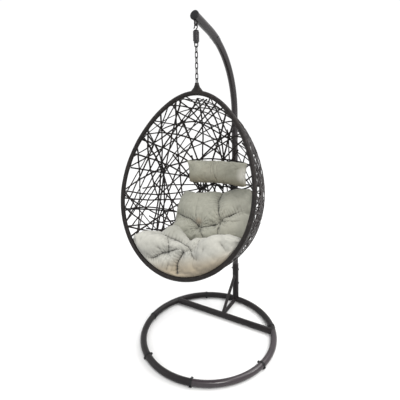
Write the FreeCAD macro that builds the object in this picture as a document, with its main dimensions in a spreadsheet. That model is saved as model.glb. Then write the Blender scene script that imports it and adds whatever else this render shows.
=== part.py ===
import FreeCAD, Part
import os, math
import Sketcher

V = FreeCAD.Vector
doc = FreeCAD.newDocument("hanging_egg_chair")

# ---------------------------------------------------------------- dimensions
# Millimetres and degrees. +X is the sitter's left-hand side as seen from the
# front, the chair faces -Y, the floor is z = 0 and the origin is the middle
# of the base ring on the floor.
DIM = [
    ("ring_rad", 437.5), ("tube_dia", 42.0), ("tube_wall", 1.5), ("foot_thick", 3.0),
    ("chord_off", 207.0), ("strut_dia", 28.0), ("brace_dia", 22.0), ("brace_top", 262.0),
    ("lean_deg", 3.0), ("sock_dia", 46.0), ("sock_wall", 2.6), ("sock_top", 340.0),
    ("pole_dia", 40.0), ("pole_wall", 2.0), ("pole_foot", 60.0),
    ("bend_start", 1447.6), ("bend_rad", 517.9), ("bend_turn", 67.17),
    ("arm_len", 143.0), ("arm_dia", 44.0), ("arm_wall", 1.8), ("arm_joint", 58.0), ("arm_lap", 60.0),
    ("cap_thick", 9.0), ("hang_off", -103.0), ("bar_height", 1912.0), ("bar_dia", 8.0),
    ("hook_wire", 5.5), ("spring_top", 1888.0), ("spring_len", 52.0), ("spring_dia", 32.0),
    ("spring_wire", 4.6), ("spring_coils", 10.0),
    ("link_wire", 5.0), ("link_inner", 25.8), ("link_wide", 18.0), ("link_step", 25.7),
    ("rim_height", 1591.6), ("rim_tilt", 18.2), ("rim_half_wide", 401.5), ("rim_half_tall", 490.0),
    ("egg_one", 0.123), ("egg_two", -0.057), ("wrap_dia", 25.0), ("core_dia", 14.2),
    ("shell_deep", 520.0), ("shell_wall", 2.9), ("shell_mid", -0.35), ("shell_up", 2.2),
    ("shell_low", 2.1), ("shell_sq", 2.3), ("rib_dia", 9.0), ("hoop_drop", 432.0),
    ("low_hoop_drop", 672.0),
    ("clip_wide", 13.0), ("clip_wall", 2.6), ("clip_ear", 8.0),
    ("pillow_wide", 408.0), ("pillow_tall", 142.0), ("pillow_thick", 112.0),
    ("back_wide", 472.0), ("back_tall", 366.0), ("back_thick", 98.0), ("back_lean", 34.0),
    ("back_side", 26.0), ("back_up", 212.0), ("back_turn", 12.0), ("strap_wide", 26.0), ("strap_thick", 2.4),
]
sheet = doc.addObject("Spreadsheet::Sheet", "Dims")
for i, (name, val) in enumerate(DIM, 1):
    sheet.set("A%d" % i, name)
    sheet.set("B%d" % i, repr(val))
    sheet.setAlias("B%d" % i, name)
doc.recompute()


def S(name):
    return float(sheet.get(name))


ZR = S("tube_dia") / 2 + S("foot_thick")          # height of the ring's centre line
HY = S("hang_off")
LEAN = math.radians(S("lean_deg"))
OUT = {}                                          # node name -> document object


def node(name, obj):
    obj.Label = name
    OUT[name] = obj
    return obj


def bind(obj, **kw):
    for prop, expr in kw.items():
        obj.setExpression(prop, expr)
    return obj


def add(kind, name, **kw):
    return bind(doc.addObject(kind, name), **kw)


def place(obj, pos, axis=(0, 0, 1), ang=0.0):
    obj.Placement = FreeCAD.Placement(V(*pos), FreeCAD.Rotation(V(*axis), ang))
    return obj


def along(pos, direction):
    """Placement that turns +Z onto a direction."""
    return FreeCAD.Placement(V(*pos), FreeCAD.Rotation(V(0, 0, 1), V(*direction)))


def cut(name, base, *tools):
    doc.recompute()
    cur = base
    for i, tool in enumerate(tools):
        c = doc.addObject("Part::Cut", "%s_cut%d" % (name, i))
        c.Base = cur
        c.Tool = tool
        cur = c
    doc.recompute()
    return cur


def feature(name, shape):
    f = doc.addObject("Part::Feature", name)
    f.Shape = shape
    return f


# ------------------------------------------------------------ path helpers
def fillet_path(points, radii):
    """Straight runs joined by tangent arcs: one open wire."""
    pts = [V(*p) for p in points]
    edges = []
    start = pts[0]
    for i in range(1, len(pts) - 1):
        a, b, c = pts[i - 1], pts[i], pts[i + 1]
        u = (a - b).normalize()
        w = (c - b).normalize()
        half = u.getAngle(w) / 2
        r = radii[i - 1]
        reach = r / math.tan(half)
        p1 = b + u * reach
        p2 = b + w * reach
        bis = (u + w).normalize()
        mid = b + bis * (r / math.sin(half) - r)
        if (p1 - start).Length > 1e-4:
            edges.append(Part.LineSegment(start, p1).toShape())
        edges.append(Part.Arc(p1, mid, p2).toShape())
        start = p2
    if (pts[-1] - start).Length > 1e-4:
        edges.append(Part.LineSegment(start, pts[-1]).toShape())
    return Part.Wire(edges)


def biarcs(points, tangents, closed=False):
    """Smooth wire of tangent circular arcs through planar points."""
    pts = [V(*p) for p in points]
    tan = [V(*t).normalize() for t in tangents]
    edges = []
    n = len(pts)
    for i in range(n if closed else n - 1):
        p0, p1 = pts[i], pts[(i + 1) % n]
        t0, t1 = tan[i], tan[(i + 1) % n]
        chord = p1 - p0
        s = t0 + t1
        a = 2 * (1 - t0.dot(t1))
        b = 2 * chord.dot(s)
        c = -chord.dot(chord)
        if abs(a) < 1e-9:
            d = -c / b
        else:
            d = (-b + math.sqrt(b * b - 4 * a * c)) / (2 * a)
        q0, q1 = p0 + t0 * d, p1 - t1 * d
        m = (q0 + q1) * 0.5
        for (s0, ctrl, s1) in ((p0, q0, m), (m, q1, p1)):
            u, w = (s0 - ctrl), (s1 - ctrl)
            u.normalize()
            w.normalize()
            ang = u.getAngle(w)
            if math.pi - ang < 1e-5:
                edges.append(Part.LineSegment(s0, s1).toShape())
                continue
            bis = (u + w).normalize()
            r = (s0 - ctrl).Length * math.tan(ang / 2)
            mid = ctrl + bis * (r / math.sin(ang / 2) - r)
            edges.append(Part.Arc(s0, mid, s1).toShape())
    return Part.Wire(edges)


def sweep(wire, radius, inner=0.0):
    """Round rod or tube along a wire."""
    def one(r):
        e = wire.OrderedEdges[0]
        p = e.valueAt(e.FirstParameter)
        t = e.tangentAt(e.FirstParameter)
        q = wire.OrderedVertexes[0].Point
        if (p - q).Length > 1e-6:
            p = e.valueAt(e.LastParameter)
            t = e.tangentAt(e.LastParameter) * -1
        prof = Part.Wire([Part.Circle(p, t, r).toShape()])
        return wire.makePipeShell([prof], True, False)
    solid = one(radius)
    if inner:
        solid = solid.cut(one(inner))
    return solid


# =============================================================== base ring
# The ring is three bent tubes on inner joint sleeves: the rear one carries
# the crossbar and the post, the two front ones meet beside the front clip.
ARC = {"rear_ring_arc": (28.5, 123.0), "front_ring_arc_left": (151.5, 134.3),
       "front_ring_arc_right": (285.8, 102.7)}
for name, (a0, sweep_deg) in ARC.items():
    outer = add("Part::Torus", name + "_outer", Radius1="Dims.ring_rad", Radius2="Dims.tube_dia / 2")
    inner = add("Part::Torus", name + "_bore", Radius1="Dims.ring_rad", Radius2="Dims.tube_dia / 2 - Dims.tube_wall")
    outer.Angle3 = sweep_deg - 0.05
    inner.Angle3 = sweep_deg + 4
    place(outer, (0, 0, ZR), (0, 0, 1), a0)
    place(inner, (0, 0, ZR), (0, 0, 1), a0 - 2)
    node(name, cut(name, outer, inner))

sleeves = []
for i, a in enumerate((28.5, 151.5, 285.8)):
    so = add("Part::Torus", "sleeve_outer%d" % i, Radius1="Dims.ring_rad", Radius2="Dims.tube_dia / 2 - Dims.tube_wall - 0.15")
    si = add("Part::Torus", "sleeve_bore%d" % i, Radius1="Dims.ring_rad", Radius2="Dims.tube_dia / 2 - Dims.tube_wall - 1.9")
    so.Angle3, si.Angle3 = 9, 13
    place(so, (0, 0, ZR), (0, 0, 1), a - 4.5)
    place(si, (0, 0, ZR), (0, 0, 1), a - 6.5)
    sleeves.append(cut("ring_sleeve%d" % i, so, si))
grp = doc.addObject("Part::Compound", "ring_joint_sleeves_group")
grp.Links = sleeves
node("ring_joint_sleeves", grp)

ring_env = add("Part::Torus", "ring_envelope", Radius1="Dims.ring_rad", Radius2="Dims.tube_dia / 2 + 0.05")
place(ring_env, (0, 0, ZR))

# crossbar: a straight tube coped onto the ring behind the middle
half_chord = math.sqrt(S("ring_rad") ** 2 - S("chord_off") ** 2)
bar_o = add("Part::Cylinder", "crossbar_outer", Radius="Dims.tube_dia / 2", Height="2 * sqrt(Dims.ring_rad ^ 2 - Dims.chord_off ^ 2)")
bar_i = add("Part::Cylinder", "crossbar_bore", Radius="Dims.tube_dia / 2 - Dims.tube_wall", Height="2 * sqrt(Dims.ring_rad ^ 2 - Dims.chord_off ^ 2)")
for o in (bar_o, bar_i):
    o.Placement = along((-half_chord, S("chord_off"), ZR), (1, 0, 0))
node("crossbar", cut("crossbar", bar_o, bar_i, ring_env))
bar_env = add("Part::Cylinder", "crossbar_envelope", Radius="Dims.tube_dia / 2 + 0.05", Height="2 * sqrt(Dims.ring_rad ^ 2 - Dims.chord_off ^ 2)")
bar_env.Placement = along((-half_chord, S("chord_off"), ZR), (1, 0, 0))

# the post leans forwards from the rear of the ring
FOOT = V(0, S("ring_rad"), ZR)
UP = V(0, -math.sin(LEAN), math.cos(LEAN))


def post_at(z):
    return FOOT + UP * ((z - ZR) / math.cos(LEAN))


sock_z0 = ZR + 2
sock_o = add("Part::Cylinder", "socket_outer", Radius="Dims.sock_dia / 2")
sock_o.setExpression("Height", "(Dims.sock_top - %g) / cos(Dims.lean_deg * 1deg)" % sock_z0)
sock_i = add("Part::Cylinder", "socket_bore", Radius="Dims.sock_dia / 2 - Dims.sock_wall")
sock_i.setExpression("Height", "(Dims.sock_top - %g) / cos(Dims.lean_deg * 1deg) + 20" % sock_z0)
sock_o.Placement = along(post_at(sock_z0), UP)
sock_i.Placement = along(post_at(sock_z0 - 10), UP)
sock_env = add("Part::Cylinder", "socket_envelope", Radius="Dims.sock_dia / 2 + 0.05", Height="Dims.sock_top")
sock_env.Placement = along(post_at(sock_z0 - 10), UP)

# strut on the floor and the slanting brace above it
strut_len = S("ring_rad") - S("chord_off")
strut_o = add("Part::Cylinder", "strut_outer", Radius="Dims.strut_dia / 2", Height="Dims.ring_rad - Dims.chord_off")
strut_i = add("Part::Cylinder", "strut_bore", Radius="Dims.strut_dia / 2 - Dims.tube_wall", Height="Dims.ring_rad - Dims.chord_off")
strut_env = add("Part::Cylinder", "strut_envelope", Radius="Dims.strut_dia / 2 + 0.05", Height="Dims.ring_rad - Dims.chord_off")
for o in (strut_o, strut_i, strut_env):
    o.Placement = along((0, S("chord_off"), ZR), (0, 1, 0))
node("floor_strut", cut("floor_strut", strut_o, strut_i, ring_env, bar_env, sock_env))
b0 = V(0, S("chord_off"), ZR)
b1 = post_at(S("brace_top"))
bdir = b1 - b0
brace_o = add("Part::Cylinder", "brace_outer", Radius="Dims.brace_dia / 2")
brace_i = add("Part::Cylinder", "brace_bore", Radius="Dims.brace_dia / 2 - Dims.tube_wall")
for o in (brace_o, brace_i):
    o.Height = bdir.Length
    o.Placement = along(b0, bdir)
node("slanted_brace", cut("slanted_brace", brace_o, brace_i, sock_env, bar_env, strut_env))

# ------------------------------------------------------------ pole and arm
B = post_at(S("bend_start"))
CEN = B + V(0, -math.cos(LEAN), -math.sin(LEAN)) * S("bend_rad")


def arc_pt(deg, r=None):
    a = math.radians(deg)
    return CEN + V(0, math.cos(a), math.sin(a)) * (r or S("bend_rad"))


def arc_dir(deg):
    a = math.radians(deg)
    return V(0, -math.sin(a), math.cos(a))


end_deg = S("lean_deg") + S("bend_turn")
lap_deg = math.degrees(S("arm_lap") / S("bend_rad"))
joint_deg = S("arm_joint")


def pole_wire(z0, deg1):
    a, b = post_at(z0), B
    m, e = arc_pt((S("lean_deg") + deg1) / 2), arc_pt(deg1)
    return Part.Wire([Part.LineSegment(a, b).toShape(), Part.Arc(b, m, e).toShape()])


pole_solid = sweep(pole_wire(S("pole_foot"), joint_deg + lap_deg - 1.0), S("pole_dia") / 2,
                   S("pole_dia") / 2 - S("pole_wall"))
pole_f = feature("main_pole_tube", pole_solid)


TIP = arc_pt(end_deg) + arc_dir(end_deg) * S("arm_len")


def arm_wire():
    a, e = arc_pt(joint_deg), arc_pt(end_deg)
    m = arc_pt((joint_deg + end_deg) / 2)
    return Part.Wire([Part.Arc(a, m, e).toShape(), Part.LineSegment(e, TIP).toShape()])


arm_solid = sweep(arm_wire(), S("arm_dia") / 2, S("arm_dia") / 2 - S("arm_wall"))
arm_f = feature("top_arm_tube", arm_solid)

# holes for the two post bolts and the arm bolt, all along X
holes = []
BOLT_Z = (176.0, 297.0)
for i, z in enumerate(BOLT_Z):
    h = add("Part::Cylinder", "post_bolt_hole%d" % i)
    h.Radius, h.Height = 4.25, 80
    h.Placement = along(post_at(z) + V(-40, 0, 0), (1, 0, 0))
    holes.append(h)
ab = arc_pt(joint_deg + lap_deg * 0.5)
arm_hole = add("Part::Cylinder", "arm_bolt_hole")
arm_hole.Radius, arm_hole.Height = 3.25, 80
arm_hole.Placement = along(ab + V(-40, 0, 0), (1, 0, 0))
node("post_socket", cut("post_socket", sock_o, sock_i, ring_env, *holes))
node("main_pole", cut("main_pole", pole_f, holes[0], holes[1], arm_hole))
node("top_arm", cut("top_arm", arm_f, arm_hole))


def hex_bolt(name, centre, shank_r, span, head_af, head_t):
    """Hexagon-head bolt along X with its head on the +X side."""
    head = doc.addObject("Part::Prism", name + "_head")
    head.Polygon, head.Circumradius, head.Height = 6, head_af / math.sqrt(3), head_t
    head.Placement = along(centre + V(span / 2, 0, 0), (1, 0, 0))
    shank = doc.addObject("Part::Cylinder", name + "_shank")
    shank.Radius, shank.Height = shank_r, span + 9
    shank.Placement = along(centre + V(-span / 2 - 9, 0, 0), (1, 0, 0))
    f = doc.addObject("Part::Fuse", name)
    f.Base, f.Tool = shank, head
    return f


def hex_nut(name, centre, bore_r, span, af, t):
    o = doc.addObject("Part::Prism", name + "_hex")
    o.Polygon, o.Circumradius, o.Height = 6, af / math.sqrt(3), t
    o.Placement = along(centre + V(-span / 2 - t - 0.05, 0, 0), (1, 0, 0))
    h = doc.addObject("Part::Cylinder", name + "_bore")
    h.Radius, h.Height = bore_r, t + 10
    h.Placement = along(centre + V(-span / 2 - t - 5, 0, 0), (1, 0, 0))
    return cut(name, o, h)


bolts = [hex_bolt("post_bolt%d" % i, post_at(z), 4.0, S("sock_dia") + 0.2, 13.0, 5.5) for i, z in enumerate(BOLT_Z)]
nuts = [hex_nut("post_nut%d" % i, post_at(z), 4.05, S("sock_dia") + 0.2, 13.0, 6.0) for i, z in enumerate(BOLT_Z)]
bolts.append(hex_bolt("arm_bolt", ab, 3.0, S("arm_dia") + 0.2, 10.0, 4.0))
nuts.append(hex_nut("arm_nut", ab, 3.05, S("arm_dia") + 0.2, 10.0, 5.0))
for nm, parts in (("pole_bolts", bolts), ("pole_nuts", nuts)):
    g = doc.addObject("Part::Compound", nm + "_group")
    g.Links = parts
    node(nm, g)

# ------------------------------------------------------------ end cap
# A turned plug: a domed disc outside and a stem inside the arm.
cap = doc.addObject("PartDesign::Body", "end_cap_body")


def origin_plane(body, role):
    return next(f for f in body.Origin.OriginFeatures if f.Role == role)


def polyline_sketch(body, name, role, pts, arcs=()):
    sk = body.newObject("Sketcher::SketchObject", name)
    sk.AttachmentSupport = (origin_plane(body, role), [""])
    sk.MapMode = "FlatFace"
    n = len(pts)
    for i in range(n):
        sk.addGeometry(Part.LineSegment(V(*pts[i], 0), V(*pts[(i + 1) % n], 0)), False)
    for i in range(n):
        sk.addConstraint(Sketcher.Constraint("Coincident", i, 2, (i + 1) % n, 1))
    return sk


ar, aw, ct = S("arm_dia") / 2, S("arm_wall"), S("cap_thick")
sk = polyline_sketch(cap, "cap_profile", "XZ_Plane",
                     [(0, 0), (ar - aw - 0.2, 0), (ar - aw - 0.2, 22), (ar + 1.5, 22), (ar + 1.5, 26),
                      (ar - 1.0, 22 + ct * 0.72), (ar - 8.0, 22 + ct * 0.95), (0, 22 + ct)])
rev = cap.newObject("PartDesign::Revolution", "cap_turn")
rev.Profile = sk
rev.ReferenceAxis = (sk, ["V_Axis"])
rev.Angle = 360
doc.recompute()
cap.Placement = along(TIP - arc_dir(end_deg) * 21.9, arc_dir(end_deg))
node("end_cap", cap)

# ------------------------------------------------------------ hanging staple
# A bent rod welded under the arm end, its bar running fore and aft.
br = S("bar_dia") / 2
zb = S("bar_height")


def arm_axis_z(y):
    """Height of the arm's axis at y, on its straight end."""
    d = arc_dir(end_deg)
    return TIP.z + (y - TIP.y) * d.z / d.y


leg_y = (HY - 11.0, HY + 11.0)
staple_w = fillet_path([(0, leg_y[0], arm_axis_z(leg_y[0]) - 17), (0, leg_y[0], zb), (0, leg_y[1], zb),
                        (0, leg_y[1], arm_axis_z(leg_y[1]) - 17)], [6.0, 6.0])
staple_f = feature("staple_rod", sweep(staple_w, br))
arm_env = add("Part::Cylinder", "arm_envelope", Radius="Dims.arm_dia / 2 + 0.05", Height="Dims.arm_len")
arm_env.Placement = along(arc_pt(end_deg), arc_dir(end_deg))
node("hanging_staple", cut("hanging_staple", staple_f, arm_env))

# ------------------------------------------------------------ foot clips
# Black moulded clips: a ring round the tube, a flat foot and two lugs.
CLIP_DEG = (-120.6, -74.2, -14.2, 35.1, 96.5, 121.2, 185.4)


def clip_at(i, deg):
    a = math.radians(deg)
    base = FreeCAD.Placement(V(S("ring_rad") * math.cos(a), S("ring_rad") * math.sin(a), ZR),
                             FreeCAD.Rotation(V(0, 0, 1), deg))
    # local frame: x outwards, y along the tube, z up
    r0 = S("tube_dia") / 2 + 0.05
    r1 = r0 + S("clip_wall")
    w = S("clip_wide")
    band = doc.addObject("Part::Cylinder", "clip_band%d" % i)
    band.Radius, band.Height = r1, w
    band.Placement = base.multiply(FreeCAD.Placement(V(0, w / 2, 0), FreeCAD.Rotation(V(1, 0, 0), 90)))
    foot = doc.addObject("Part::Box", "clip_foot%d" % i)
    foot.Length, foot.Width, foot.Height = 30, w, 12
    foot.Placement = base.multiply(FreeCAD.Placement(V(-15, -w / 2, -ZR), FreeCAD.Rotation()))
    ear_in = doc.addObject("Part::Box", "clip_ear_in%d" % i)
    ear_in.Length, ear_in.Width, ear_in.Height = 12, w, S("clip_ear")
    ear_in.Placement = base.multiply(FreeCAD.Placement(V(-r1 - 5.5, -w / 2, 4), FreeCAD.Rotation()))
    ear_out = doc.addObject("Part::Box", "clip_ear_out%d" % i)
    ear_out.Length, ear_out.Width, ear_out.Height = 12, w, S("clip_ear")
    ear_out.Placement = base.multiply(FreeCAD.Placement(V(r1 - 9.0, -w / 2, -12), FreeCAD.Rotation()))
    hole = doc.addObject("Part::Cylinder", "clip_bore%d" % i)
    hole.Radius, hole.Height = r0, w + 4
    hole.Placement = base.multiply(FreeCAD.Placement(V(0, w / 2 + 2, 0), FreeCAD.Rotation(V(1, 0, 0), 90)))
    fuse = doc.addObject("Part::MultiFuse", "clip_fuse%d" % i)
    fuse.Shapes = [band, foot, ear_in, ear_out]
    return cut("foot_clip%d" % i, fuse, hole)


clips = [clip_at(i, d) for i, d in enumerate(CLIP_DEG)]
g = doc.addObject("Part::Compound", "foot_clip_group")
g.Links = clips
node("foot_clips", g)

# ============================================================ spring and chain
hw = S("hook_wire") / 2
apex = zb + br + hw + 0.15
hook_w = fillet_path([(0, HY, S("spring_top") - 4), (0, HY, S("spring_top") + 6.0), (8.0, HY, S("spring_top") + 14.0), (8.0, HY, apex),
                      (-8.0, HY, apex), (-8.0, HY, 1904.5), (-12.5, HY, 1898.0)], [4.0, 4.0, 7.95, 7.95, 5.0])
node("spring_hook", feature("spring_hook_rod", sweep(hook_w, hw)))

st, sl, sr, sw = S("spring_top"), S("spring_len"), S("spring_dia") / 2, S("spring_wire") / 2


def turned(name, pts, z_off):
    """Turned piece about the hanging axis from a profile of (radius, height)."""
    body = doc.addObject("PartDesign::Body", name + "_body")
    sk = polyline_sketch(body, name + "_profile", "XZ_Plane", pts)
    r = body.newObject("PartDesign::Revolution", name + "_turn")
    r.Profile = sk
    r.ReferenceAxis = (sk, ["V_Axis"])
    r.Angle = 360
    doc.recompute()
    body.Placement = FreeCAD.Placement(V(0, HY, z_off), FreeCAD.Rotation())
    return body


ri = sr - 2 * sw - 0.35
hb = hw + 0.05
node("spring_top_plug", turned("top_plug", [(hb, -13), (ri, -13), (ri, 0), (sr - sw, 0.6), (sr - 5.0, 3.0), (hw + 3.2, 4.0), (hb, 4.0)], st))
node("spring_bottom_plug", turned("bottom_plug", [(0, 13), (ri, 13), (ri, 0), (sr - sw, -0.6), (sr - 5.0, -4.6), (hw + 3.2, -6.6), (0, -6.6)], st - sl))
helix_h = sl - 2 * sw - 1.6
hel = Part.makeHelix(helix_h / S("spring_coils"), helix_h, sr - sw)
prof = Part.Wire([Part.Circle(V(sr - sw, 0, 0), V(0, 1, 0), sw).toShape()])
coil = Part.Wire(hel.Edges).makePipeShell([prof], True, True)
coil_f = feature("coil_spring_rod", coil)
coil_f.Placement = FreeCAD.Placement(V(0, HY, st - sl + sw + 0.8), FreeCAD.Rotation())
node("coil_spring", coil_f)

# the lower eye: a U of wire out of the bottom plug
zu = st - sl - 6.6
eye_bottom = zu - 17.0
eye_w = fillet_path([(-9.0, HY, zu + 4), (-9.0, HY, eye_bottom), (9.0, HY, eye_bottom), (9.0, HY, zu + 4)], [8.95, 8.95])
plug = OUT["spring_bottom_plug"]
eye_f = feature("lower_eye_rod", sweep(eye_w, hw))
doc.recompute()
node("lower_eye", cut("lower_eye", eye_f, plug))

lw = S("link_wire") / 2
lin = S("link_inner")
lhw = S("link_wide") / 2 - lw


def link_shape(top_inner, plane_x):
    """One welded chain link hanging with its inner top at a height."""
    z1 = top_inner + lw
    z0 = top_inner - lin - lw
    a, b, c, d = (-lhw, z0 + lhw), (-lhw, z1 - lhw), (lhw, z1 - lhw), (lhw, z0 + lhw)

    def p(q):
        return V(q[0], HY, q[1]) if plane_x else V(0, HY + q[0], q[1])
    e = [Part.LineSegment(p(a), p(b)).toShape(), Part.Arc(p(b), p((0, z1)), p(c)).toShape(),
         Part.LineSegment(p(c), p(d)).toShape(), Part.Arc(p(d), p((0, z0)), p(a)).toShape()]
    return sweep(Part.Wire(e), lw)


T0 = eye_bottom + hw + 0.12
link_tops = [T0 - S("link_step") * i for i in range(6)]
links = []
for i, t in enumerate(link_tops):
    links.append(feature("chain_link_rod%d" % (i + 1), link_shape(t, i % 2 == 1)))
for nm, idx in (("upper_chain_links", (0, 1, 2)), ("lower_chain_links", (3, 4))):
    g = doc.addObject("Part::Compound", nm + "_group")
    g.Links = [links[i] for i in idx]
    node(nm, g)
node("end_chain_link", links[5])
PIVOT_EYE = eye_bottom
PIVOT_END = link_tops[5] - lin - lw

# ============================================================ basket frame
# Built in the basket's own frame: x across, y backwards from the rim plane,
# z up along the rim plane, with the rim's top at the origin.
BASKET = FreeCAD.Placement(V(0, HY, S("rim_height")), FreeCAD.Rotation(V(1, 0, 0), -S("rim_tilt")))
GN = 1.00666
E1, E2 = S("egg_one"), S("egg_two")


def half_width(c, a):
    """Half width of the egg outline at height parameter c = cos t."""
    s = math.sqrt(max(0.0, 1 - c * c))
    return a / GN * s * (1 - E1 * c + E2 * c * c)


def depth_at(c, d):
    """Depth of the basket behind the rim plane at height parameter c."""
    m = S("shell_mid")
    if c > m:
        s, n = (c - m) / (1 - m), S("shell_up")
    else:
        s, n = (m - c) / (1 + m), S("shell_low")
    return d * max(0.0, 1 - abs(s) ** n) ** (1 / n)


def c_of(v, inset=0.0):
    return (v + S("rim_half_tall")) / (S("rim_half_tall") - inset)


def wall_w(u, v, inset):
    """Depth of the basket's wall, set in by an amount, behind the point u, v."""
    c = max(-1.0, min(1.0, c_of(v, inset)))
    hwid = half_width(c, S("rim_half_wide") - inset)
    d = depth_at(c, S("shell_deep") - inset)
    if hwid <= abs(u):
        return 0.0
    q = S("shell_sq")
    return d * (1 - (abs(u) / hwid) ** q) ** (1 / q)


def egg_path(n, w=0.0, inset=0.0):
    pts, tans = [], []
    a, b = S("rim_half_wide") - inset, S("rim_half_tall") - inset

    def P(t):
        c, s = math.cos(t), math.sin(t)
        return V(a / GN * s * (1 - E1 * c + E2 * c * c), w, b * c - S("rim_half_tall"))
    for i in range(n):
        t = 2 * math.pi * i / n
        pts.append(P(t))
        tans.append(P(t + 1e-4) - P(t - 1e-4))
    return biarcs(pts, tans, closed=True)


def basket_node(name, shape):
    f = feature(name + "_form", shape)
    f.Placement = BASKET
    return node(name, f)


rim_w = egg_path(14)
core_r, wrap_r = S("core_dia") / 2, S("wrap_dia") / 2
basket_node("rim_core", sweep(rim_w, core_r))
basket_node("rim_wrap", sweep(rim_w, wrap_r, core_r + 0.1))

# woven shell: closed outlines at growing depth, outside less inside


def outline_points(w, inset, n=36):
    a, b, d = S("rim_half_wide") - inset, S("rim_half_tall") - inset, S("shell_deep") - inset
    q = S("shell_sq")
    m = S("shell_mid")
    k = min(1.0, w / d)
    up = m + (1 - m) * (max(0.0, 1 - k ** S("shell_up"))) ** (1 / S("shell_up"))
    lo = m - (1 + m) * (max(0.0, 1 - k ** S("shell_low"))) ** (1 / S("shell_low"))
    mid, half = (up + lo) / 2, (up - lo) / 2
    pts = []
    for i in range(n):
        ph = 2 * math.pi * i / n
        c = mid + half * math.cos(ph)
        dd = depth_at(c, d)
        f = max(0.0, 1 - (w / dd) ** q) ** (1 / q) if dd > 0 else 0.0
        u = half_width(c, a) * f
        if i in (0, n // 2):
            u = 0.0
        pts.append(V(u if ph < math.pi else -u, w, b * c - S("rim_half_tall")))
    return pts


def outline(w, inset):
    spl = Part.BSplineCurve()
    spl.interpolate(outline_points(w, inset), PeriodicFlag=True)
    return Part.Wire([spl.toShape()])


def bowl(inset, w0, fracs):
    d = S("shell_deep") - inset
    return Part.makeLoft([outline(w0 if f is None else d * f, inset) for f in fracs], True, False)


FR = (None, 0.12, 0.26, 0.42, 0.58, 0.73, 0.85, 0.93, 0.975)
shell_start = wrap_r + 0.3
outer_bowl = bowl(0.0, shell_start, FR)
inner_bowl = bowl(S("shell_wall"), shell_start - 6.0, FR)
basket_node("basket_shell", outer_bowl.cut(inner_bowl))

# ribs of bent rod just inside the weave
rr = S("rib_dia") / 2
RIB_IN = S("shell_wall") + rr + 3.6


def rib_shape(points, grow=0.0):
    tans = []
    for i in range(len(points)):
        a = points[max(0, i - 1)]
        b = points[min(len(points) - 1, i + 1)]
        tans.append(V(*b) - V(*a))
    return sweep(biarcs(points, tans), rr + grow)


def hoop_points(v, inset, n=14):
    c = c_of(v, inset)
    hwid = half_width(c, S("rim_half_wide") - inset)
    pts = []
    y0 = shell_start + 0.5
    k = min(1.0, 497.0 / wall_w(0.0, v, inset))      # keeps the hoop off the flat rear end of the shell
    for i in range(n + 1):
        a = math.pi * i / n
        u = hwid * math.cos(a)
        w = wall_w(u * 0.99999, v, inset) * k if 0 < i < n else 0.0
        pts.append((u, max(w, y0), v))
    return pts


basket_node("middle_hoop", rib_shape(hoop_points(-S("hoop_drop"), RIB_IN)))
basket_node("seat_hoop", rib_shape(hoop_points(-S("low_hoop_drop"), RIB_IN)))
sp = []
HALF_T = S("rim_half_tall")
for i in range(13):
    ph = math.pi * i / 12
    c = math.cos(ph) * 0.985
    v = c * (HALF_T - RIB_IN - rr - 3) - HALF_T
    dd = depth_at(c, S("shell_deep") - RIB_IN - rr * 2 - 3.0)
    sp.append((0, min(max(dd, shell_start + 0.5), 483.0), v))
basket_node("spine_rib", rib_shape(sp))

# two side ribs from the rim's shoulders round to its lower part
SIDE = ((13.5, -238), (87, -267), (156, -304), (212, -359), (253, -418), (281, -480), (295, -544), (302, -615),
        (294, -685), (276, -765), (248, -822), (205, -866), (150, -897), (85, -917), (14.0, -928))
side_in = RIB_IN + rr * 2 + 3.0
sides, side_paths = [], []
for sgn in (-1, 1):
    pts = []
    for w, v in SIDE:
        c = c_of(v, side_in)
        hwid = half_width(c, S("rim_half_wide") - side_in)
        d = depth_at(c, S("shell_deep") - side_in)
        pts.append((sgn * hwid * max(0.0, 1 - (w / d) ** S("shell_sq")) ** (1 / S("shell_sq")), w, v))
    side_paths.append(pts)
    sides.append(feature("side_rib_rod%d" % (sgn + 1), rib_shape(pts)))
g = doc.addObject("Part::Compound", "side_rib_group")
g.Links = sides
doc.recompute()
g.Placement = BASKET
node("side_ribs", g)

# wrapped gusset at the top of the rim with the hanging eye in it
ew = S("hook_wire") / 2
eye_top = PIVOT_END + lw + 0.12 + ew
yoke_w = fillet_path([(0, HY - 7.5, 1622.0), (0, HY - 7.5, eye_top), (0, HY + 7.5, eye_top), (0, HY + 7.5, 1622.0)], [7.45, 7.45])
yoke_f = feature("yoke_rod", sweep(yoke_w, ew))
node("yoke_eye", yoke_f)


def oval(z, rx, ry, n=20):
    pts = [V(rx * math.cos(2 * math.pi * i / n), HY + ry * math.sin(2 * math.pi * i / n), z) for i in range(n)]
    spl = Part.BSplineCurve()
    spl.interpolate(pts, PeriodicFlag=True)
    return Part.Wire([spl.toShape()])


cone_solid = Part.makeLoft([oval(1592.0, 44.0, 12.0), oval(1606.0, 33.0, 12.0), oval(1619.0, 19.0, 12.0), oval(1643.0, 9.5, 11.5)], True, False)
cone_f = feature("gusset_form", cone_solid)
rim_env = feature("rim_envelope", sweep(rim_w, wrap_r + 0.05))
rim_env.Placement = BASKET
node("rim_gusset", cut("rim_gusset", cone_f, rim_env, yoke_f))

# ============================================================ soft goods
PAD = 19.5          # the seat pad stays this far inside the basket's outside

# The back pad leans. Its seam lies in a plane through LEAN_AT that climbs
# backwards, and the pad is turned a little in that plane.
LEAN_TILT, LEAN_AT = S("back_lean"), V(0, 177.0, -815.5)
LEAN = FreeCAD.Placement(LEAN_AT, FreeCAD.Rotation(V(1, 0, 0), -LEAN_TILT))
TURN = FreeCAD.Placement(V(S("back_side"), 0, S("back_up")), FreeCAD.Rotation(V(0, 1, 0), -S("back_turn")))


def loop(pts):
    spl = Part.BSplineCurve()
    spl.interpolate([V(*p) for p in pts], PeriodicFlag=True)
    return Part.Wire([spl.toShape()])


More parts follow.
